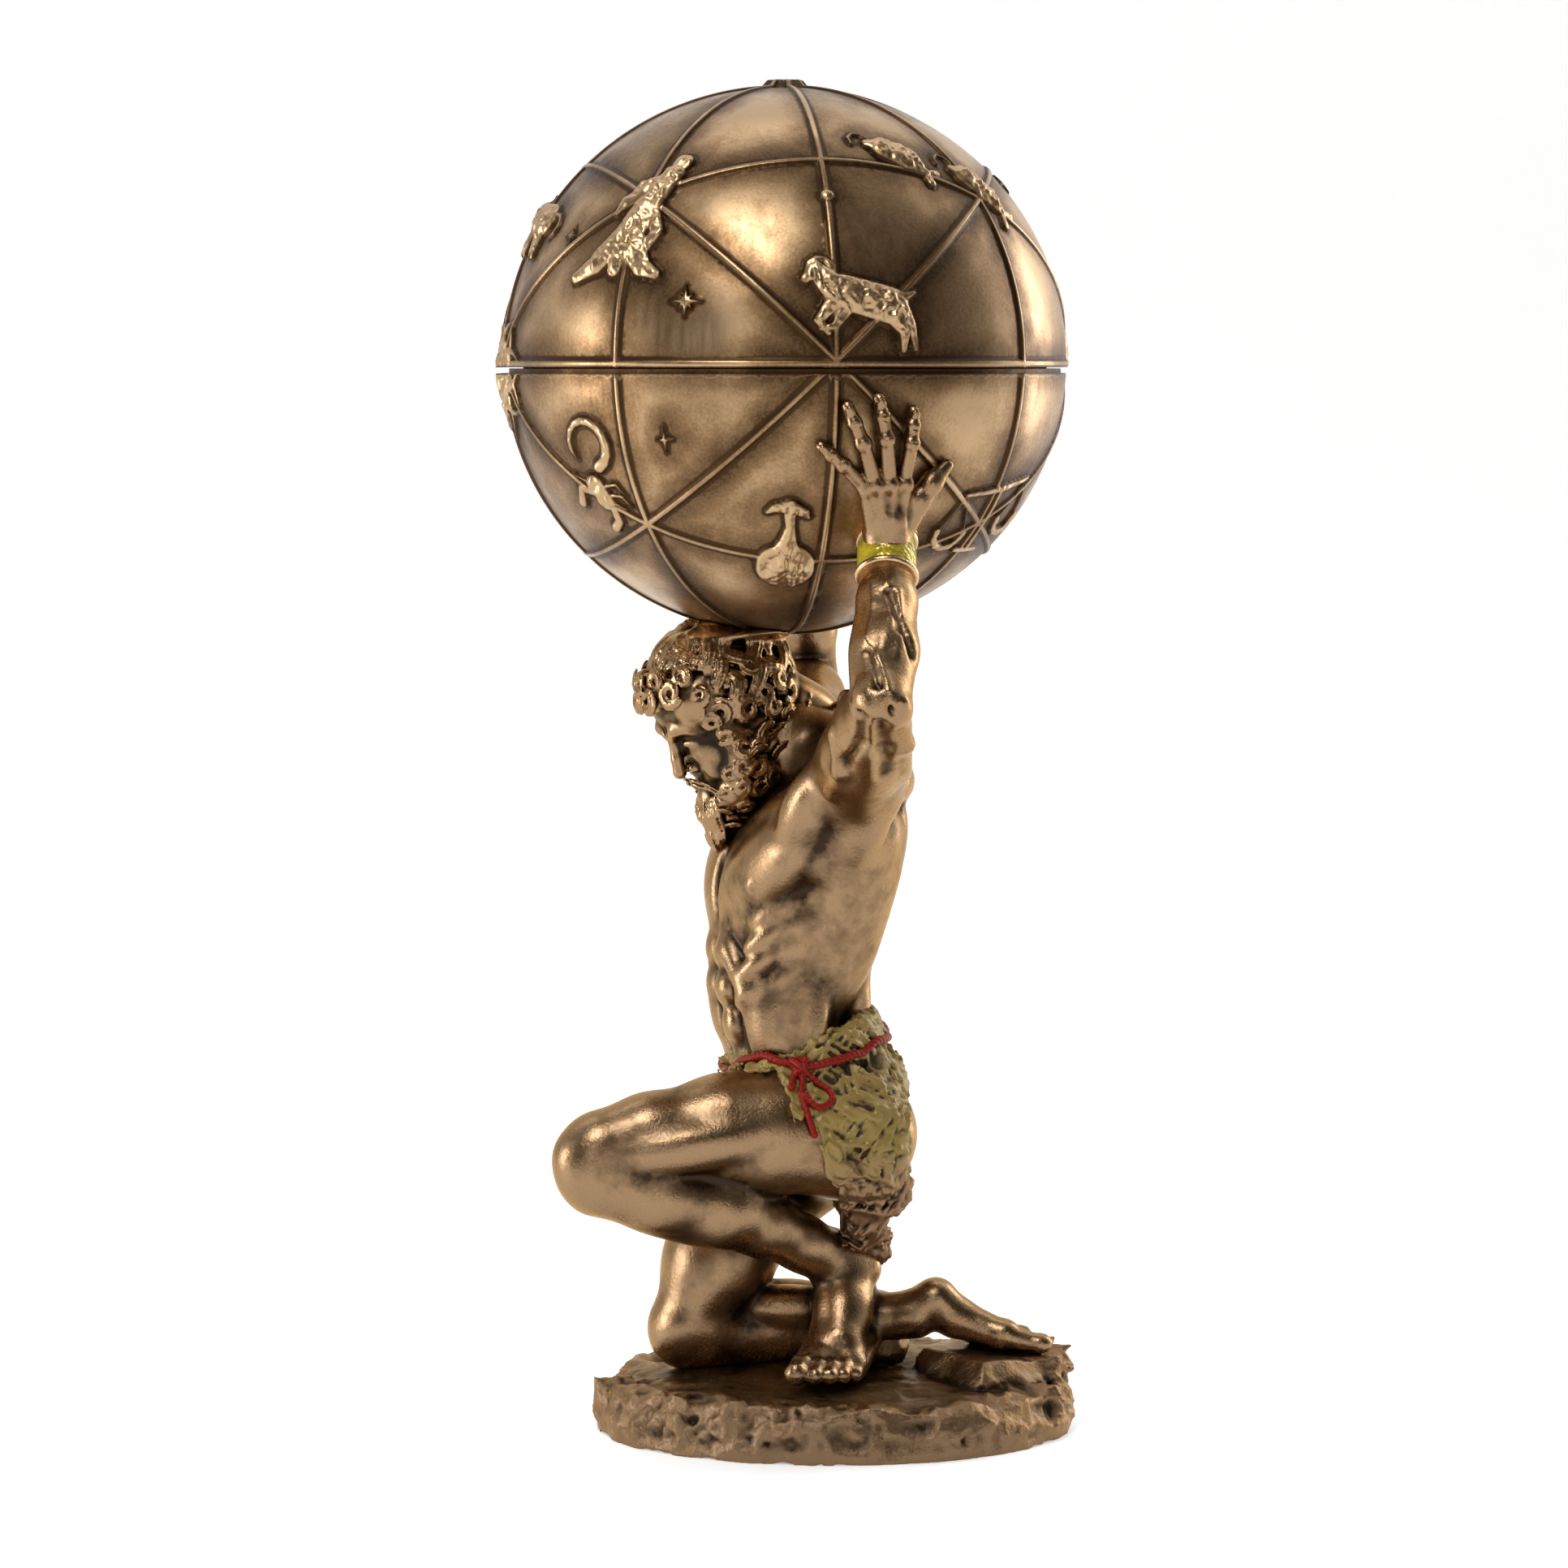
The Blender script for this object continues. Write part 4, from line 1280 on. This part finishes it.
SCORPION = [[(0, -2.5, 2.6), (1.6, -6.5, 2.2)], arc(1.0, 6.4, 5.2, -70, 190, 12, 1.5, 0.8),
            [(-4.2, 5.6, 0.8), (-3.2, 3.4, 0.4)], [(-1.5, -4, 1.2), (-5, -3.6, 1.1), (-6.4, -7, 1.3)],
            [(2.5, -8, 1.2), (2.2, -11.4, 1.2), (0.2, -13, 1.3)],
            [(2, -3, 0.6), (5.6, -2.6, 0.5), (7, -5, 0.3)], [(2.4, -5, 0.6), (6, -5.4, 0.5), (7.4, -8, 0.3)],
            [(-2, -2, 0.6), (-5.6, -0.4, 0.4)], [(2.8, -6.6, 0.6), (5.6, -8.6, 0.4)]]
CRAB = [[(-2, 0, 4), (2, 0, 4)], arc(-6.5, 4.5, 3, -60, 120, 6, 1.4, 0.8),
        arc(6.5, 4.5, 3, 240, 60, 6, 1.4, 0.8)]
for side in (-1, 1):
    for i in range(3):
        CRAB.append([(4 * side, -1 - i, 0.8), (8 * side, -0.5 - 2.2 * i, 0.6), (9 * side, -4 - 2.6 * i, 0.4)])
URN = [[(-1.4, -7.6, 6.3), (-1.4, -6.2, 6.3)],
       [(-1.3, -2.4, 3.6), (-1.0, 1.0, 2.0), (-0.6, 4.6, 1.25), (-0.8, 8, 1.4)],
       [(-5.4, 8.4, 0.7), (-3.6, 9.6, 1.3), (-0.6, 9.9, 1.9), (2.2, 8.4, 1.4), (3.0, 7.2, 0.7)]]
SCALES = [[(-11, 6.5, 0.7), (0, 8.6, 1.1), (11, 10.4, 0.7)], [(0, 8.6, 0.9), (0, -7, 0.8)],
          [(-4, -8, 0.9), (4, -8, 0.9)], arc(-9.5, -3.4, 4.4, 180, 360, 7, 1.1),
          arc(9.5, 0.6, 4.4, 180, 360, 7, 1.1), [(-11, 6.5, 0.4), (-13.8, -3, 0.4)],
          [(-11, 6.5, 0.4), (-5.4, -3, 0.4)], [(11, 10.4, 0.4), (5.2, 1, 0.4)],
          [(11, 10.4, 0.4), (13.8, 1, 0.4)]]
ARCHER = [arc(-2, 0, 9, -75, 75, 10, 1.2, 1.0), [(0.2, -8.8, 0.4), (0.2, 8.8, 0.4)],
          [(-9, 0, 0.8), (8.6, 0, 0.8)],
          [(8.6, 0, 1.8), (11.4, 0, 0.3)], [(-9, 0, 1.6), (-11, 1.4, 0.6)], [(-9, 0, 1.6), (-11, -1.4, 0.6)]]
MOON = [arc(1.5, 0, 6.5, 60, 300, 12, 0.8, 0.8), arc(1.5, 0, 6.0, 100, 260, 8, 1.8, 1.8)]
MOTIFS = ((MAIDEN, -36, 30, 1.05), (star(3.6, 8), -20, 12, 1), (star(2.3, 8), -55, 26.5, 1),
          (RAM, 15, 12.5, 1), (FISH_ONE, 36, 44, 1), (FISH_TWO, 55, 37, 1.05), (sun(14.5, 16), -80, -3, 1),
          (SCORPION, -46, -23.5, 1.05), (star(3.0, 4), -25, -16, 1), (URN, 2, -40, 1.02),
          (SCALES, 57, -35, 1), (MOON, 102, 2, 1.2), (BULL, -78, 30, 0.9), (ARCHER, 118, 32, 1),
          (CRAB, 150, -24, 1), (BULL, 165, 20, 1), (star(3.6, 8), 135, 8, 1), (MAIDEN, -145, 28, 0.95),
          (CRAB, -118, -30, 1), (ARCHER, -160, -22, 0.9), (star(2.6, 8), -112, 10, 1),
          (star(3.0, 4), 120, -14, 1), (star(2.6, 8), 85, 40, 1),
          ([[(0, 0, 1.7), (0, 0.01, 1.7)]], 10, 35.2, 1))


RIB, BEAD, BEAD_DOWN, NOWHERE = 0.82, 0.9, 0.6, -20.0


def relief(directions):
    """Lift in millimetres, depth inside the nearest edge, and share of motif, for unit directions."""
    x, y, z = directions.T
    turn = math.radians(10)
    a = x * math.sin(turn) - y * math.cos(turn)
    b = x * math.cos(turn) + y * math.sin(turn)
    half = math.sqrt(0.5)
    edge = np.full(len(directions), NOWHERE)
    for plane in (a, b, *((p + q) * half for p, q in ((a, b), (a, -b), (a, -z), (a, z), (b, -z), (b, z)))):
        edge = np.maximum(edge, RIB - np.abs(plane) * WIDE)
    lift = 0.58 * np.sqrt(np.clip(1 - (1 - np.clip(edge / RIB, 0, 1)) ** 2, 0, 1))
    bead = BEAD - np.abs(z * WIDE + BEAD_DOWN)
    lift = np.maximum(lift, 0.6 * np.sqrt(np.clip(1 - (1 - np.clip(bead / BEAD, 0, 1)) ** 2, 0, 1)))
    edge = np.maximum(edge, bead)
    motif = np.zeros(len(directions))
    for strokes, longitude, latitude, scale in MOTIFS:
        lon, lat = math.radians(longitude), math.radians(latitude)
        out = np.array((math.sin(lon) * math.cos(lat), -math.cos(lon) * math.cos(lat), math.sin(lat)))
        east = np.array((math.cos(lon), math.sin(lon), 0))
        north = np.cross(out, east)
        near = np.flatnonzero(directions @ out > 0.90)
        u = directions[near] @ east * WIDE / scale
        v = directions[near] @ north * WIDE / scale
        inside = np.full(len(u), NOWHERE)
        high = np.zeros(len(u))
        for stroke in strokes:
            for (au, av, ar), (bu, bv, br) in zip(stroke, stroke[1:]):
                wu, wv = bu - au, bv - av
                t = np.clip(((u - au) * wu + (v - av) * wv) / (wu * wu + wv * wv + 1e-9), 0, 1)
                r = ar + (br - ar) * t
                deep = r - np.hypot(u - au - wu * t, v - av - wv * t)
                inside = np.maximum(inside, deep)
                share = np.clip(deep / r, 0, 1)
                high = np.maximum(high, np.minimum(1.9, 0.38 + 0.5 * r) * np.sqrt(share * (2 - share)))
        # Folds, hair and strokes of the tool on the figures.
        curve = noise(u / 3.0, v / 3.0, 0 * u, 41) * 1.6
        folds = noise((u + curve) / 0.95, (v + 1.7 * curve) / 3.0, 0 * u, 42) + 0.6 * noise(u / 0.8, v / 0.8,
                0 * u, 43)
        high = high * (1 + 0.24 * folds * np.clip(inside / 0.8, 0, 1))
        lift[near] = np.maximum(lift[near], high)
        edge[near] = np.maximum(edge[near], inside)
        motif[near] = np.maximum(motif[near], np.clip(inside / 0.3 + 0.5, 0, 1))
    return lift, edge, motif


def globe_half(name, outer_levels, inner_profile, most, knob):
    """A shell turned on the globe's axis: outside rows at the levels given, then the inner profile."""
    columns = 1240
    around = np.linspace(0, 2 * math.pi, columns, endpoint=False)
    levels = np.asarray(outer_levels)
    ca = np.cos(around)[None, :] * np.sqrt(np.clip(1 - levels ** 2, 0, 1))[:, None]
    sa = np.sin(around)[None, :] * np.sqrt(np.clip(1 - levels ** 2, 0, 1))[:, None]
    directions = np.stack([ca, sa, np.broadcast_to(levels[:, None], ca.shape)], axis=-1).reshape(-1, 3)
    lift, edge, motif = relief(directions)
    if knob:
        lift = lift + 1.2 * np.clip((5.0 - np.hypot(directions[:, 0], directions[:, 1]) * WIDE) / 1.2, 0, 1)
    outside = directions * (np.array((WIDE, WIDE, HIGH)) + lift[:, None])
    inside = np.array([[(r * math.cos(t), r * math.sin(t), h) for t in around]
                       for r, h in inner_profile]).reshape(-1, 3)
    points = np.concatenate([outside, inside]) + GLOBE
    rows = len(levels) + len(inner_profile)
    i, j = np.meshgrid(np.arange(rows - 1), np.arange(columns), indexing="ij")
    k = (j + 1) % columns
    quads = np.stack([i * columns + j, i * columns + k, (i + 1) * columns + k, (i + 1) * columns + j],
                     axis=-1).reshape(-1, 4)
    obj = mesh_object(name, points, quads)
    modify(obj, "WELD", merge_threshold=0.00004)
    modify(obj, "DECIMATE", ratio=most / (2 * len(quads)))
    here = (places(obj) - GLOBE) / np.array((WIDE, WIDE, HIGH))
    size = np.linalg.norm(here, axis=1)
    lift, edge, motif = relief(here / np.maximum(size, 1e-6)[:, None])
    shell = (size > 0.985) & (np.abs(here[:, 2] * HIGH - (lower + upper) / 2) > (upper - lower) / 2 + 0.15)
    for label, value in (("edge", np.where(shell, edge, NOWHERE)), ("lift", np.where(shell, lift, 0)),
                         ("motif", np.where(shell, motif, 0)), ("inner", np.where(shell, 0.0, 1.0))):
        set_mark(obj, label, value)
    obj.data.shade_smooth()
    obj.data.set_sharp_from_angle(angle=math.radians(50))
    return obj


WALL = 3.6


def inner_radius(level):
    return (WIDE - WALL) * math.sqrt(max(0, 1 - (level / (HIGH - WALL)) ** 2))


def dome(start, end):
    """The inside of a half from its mouth to its pole."""
    levels = [(HIGH - WALL) * math.sin(t) for t in np.linspace(start, end, 24)]
    return [(inner_radius(level), level) for level in levels]


lower, upper = -2.7, -1.4
mouth = inner_radius(-2.0)
bowl_levels = np.sin(np.linspace(-math.pi / 2, math.asin(lower / HIGH), 300))
bowl_inner = [(WIDE - 0.5, lower), (WIDE - 1.2, lower), (WIDE - 1.2, upper - 0.3), (mouth + 0.2, upper - 0.3),
              (mouth, upper - 0.5)]
bowl_inner += dome(-0.06, -math.pi / 2)
lid_levels = np.sin(np.linspace(math.pi / 2, math.asin(upper / HIGH), 310))
lip = inner_radius(-6.2) - 0.4
lid_inner = [(WIDE - 0.5, upper), (lip + 0.1, upper), (lip, upper - 0.2), (lip, -6.0), (lip - 0.3, -6.2),
             (lip - 1.4, -6.2), (lip - 1.6, -6.0)]
lid_inner += [(min(lip - 1.6, r), level) for r, level in dome(0.1, math.pi / 2)]


def globe_bronze():
    mat = bpy.data.materials.new("globe_bronze")
    mat.use_nodes = True
    n, link = mat.node_tree.nodes, mat.node_tree.links.new
    shader = n["Principled BSDF"]
    place = n.new("ShaderNodeTexCoord")

    def mark(name):
        node = n.new("ShaderNodeAttribute")
        node.attribute_name = name
        return node.outputs["Fac"]

    def span(value, low, high, to_low, to_high, smooth=True):
        node = n.new("ShaderNodeMapRange")
        node.interpolation_type = "SMOOTHSTEP" if smooth else "LINEAR"
        for label, v in (("From Min", low), ("From Max", high), ("To Min", to_low), ("To Max", to_high)):
            node.inputs[label].default_value = v
        link(value, node.inputs["Value"])
        return node.outputs["Result"]

    def maths(kind, a, b):
        node = n.new("ShaderNodeMath")
        node.operation = kind
        for socket, value in zip(node.inputs, (a, b)):
            if isinstance(value, (int, float)):
                socket.default_value = value
            else:
                link(value, socket)
        return node.outputs[0]

    def cloud(scale, detail, rough, stretch=(1, 1, 1)):
        shape = n.new("ShaderNodeMapping")
        shape.inputs["Scale"].default_value = stretch
        link(place.outputs["Object"], shape.inputs["Vector"])
        return cloud_node(n, link, shape.outputs[0], scale, detail, rough)

    edge, lift, motif, inner = mark("edge"), mark("lift"), mark("motif"), mark("inner")
    broad = cloud(28, 4, 0.55)
    speck = cloud(1400, 4, 0.7)
    brush = cloud(500, 3, 0.6, (1.0, 1.0, 0.12))
    # Patina: a thin dark line along every edge, a wide soft halo round it, and drifting clouds.
    line = maths("MULTIPLY", span(edge, -1.1, -0.05, 0, 1), span(edge, -0.05, 0.55, 1, 0))
    halo = span(edge, -7.5, -0.2, 0.0, 0.50)
    cloudy = span(broad, 0.36, 0.64, -0.14, 0.46)
    raised = span(edge, 0.1, 0.6, 0.0, 1.0)
    field = maths("ADD", maths("ADD", maths("MULTIPLY", halo, maths("SUBTRACT", 1.0, raised)), cloudy),
                  maths("MULTIPLY", line, 0.7))
    worn = maths("MULTIPLY", raised, span(lift, 0.35, 1.1, -0.12, 0.42))
    grain = span(speck, 0.3, 0.7, -0.10, 0.10)
    dark = maths("ADD", maths("SUBTRACT", field, worn), grain)
    dark = maths("ADD", dark, maths("MULTIPLY", inner, 0.8))
    hold = n.new("ShaderNodeClamp")
    link(dark, hold.inputs["Value"])
    tint = colour_ramp(n, (0.0, (0.47, 0.315, 0.172)), (1.0, (0.055, 0.029, 0.013)),
                       (0.5, (0.22, 0.132, 0.064)))
    link(hold.outputs[0], tint.inputs["Fac"])
    link(tint.outputs["Color"], shader.inputs["Base Color"])
    rough = maths("ADD", span(hold.outputs[0], 0, 1, 0.34, 0.48), span(brush, 0.3, 0.7, -0.04, 0.04))
    link(rough, shader.inputs["Roughness"])
    shader.inputs["Metallic"].default_value = 1.0
    height = maths("ADD", maths("MULTIPLY", brush, 0.5), maths("MULTIPLY", speck, 0.8))
    bump = n.new("ShaderNodeBump")
    bump.inputs["Strength"].default_value = 0.22
    bump.inputs["Distance"].default_value = 0.00012
    link(height, bump.inputs["Height"])
    link(bump.outputs[0], shader.inputs["Normal"])
    return mat


gold = globe_bronze()
for name, node, levels, profile, knob in (("bowl", "globe_bowl", bowl_levels, bowl_inner, False),
                                          ("lid", "globe_lid", lid_levels, lid_inner, True)):
    half = globe_half(name, levels, profile, 144000, knob)
    half.data.materials.append(gold)
    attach(half, "root")
    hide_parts(node)
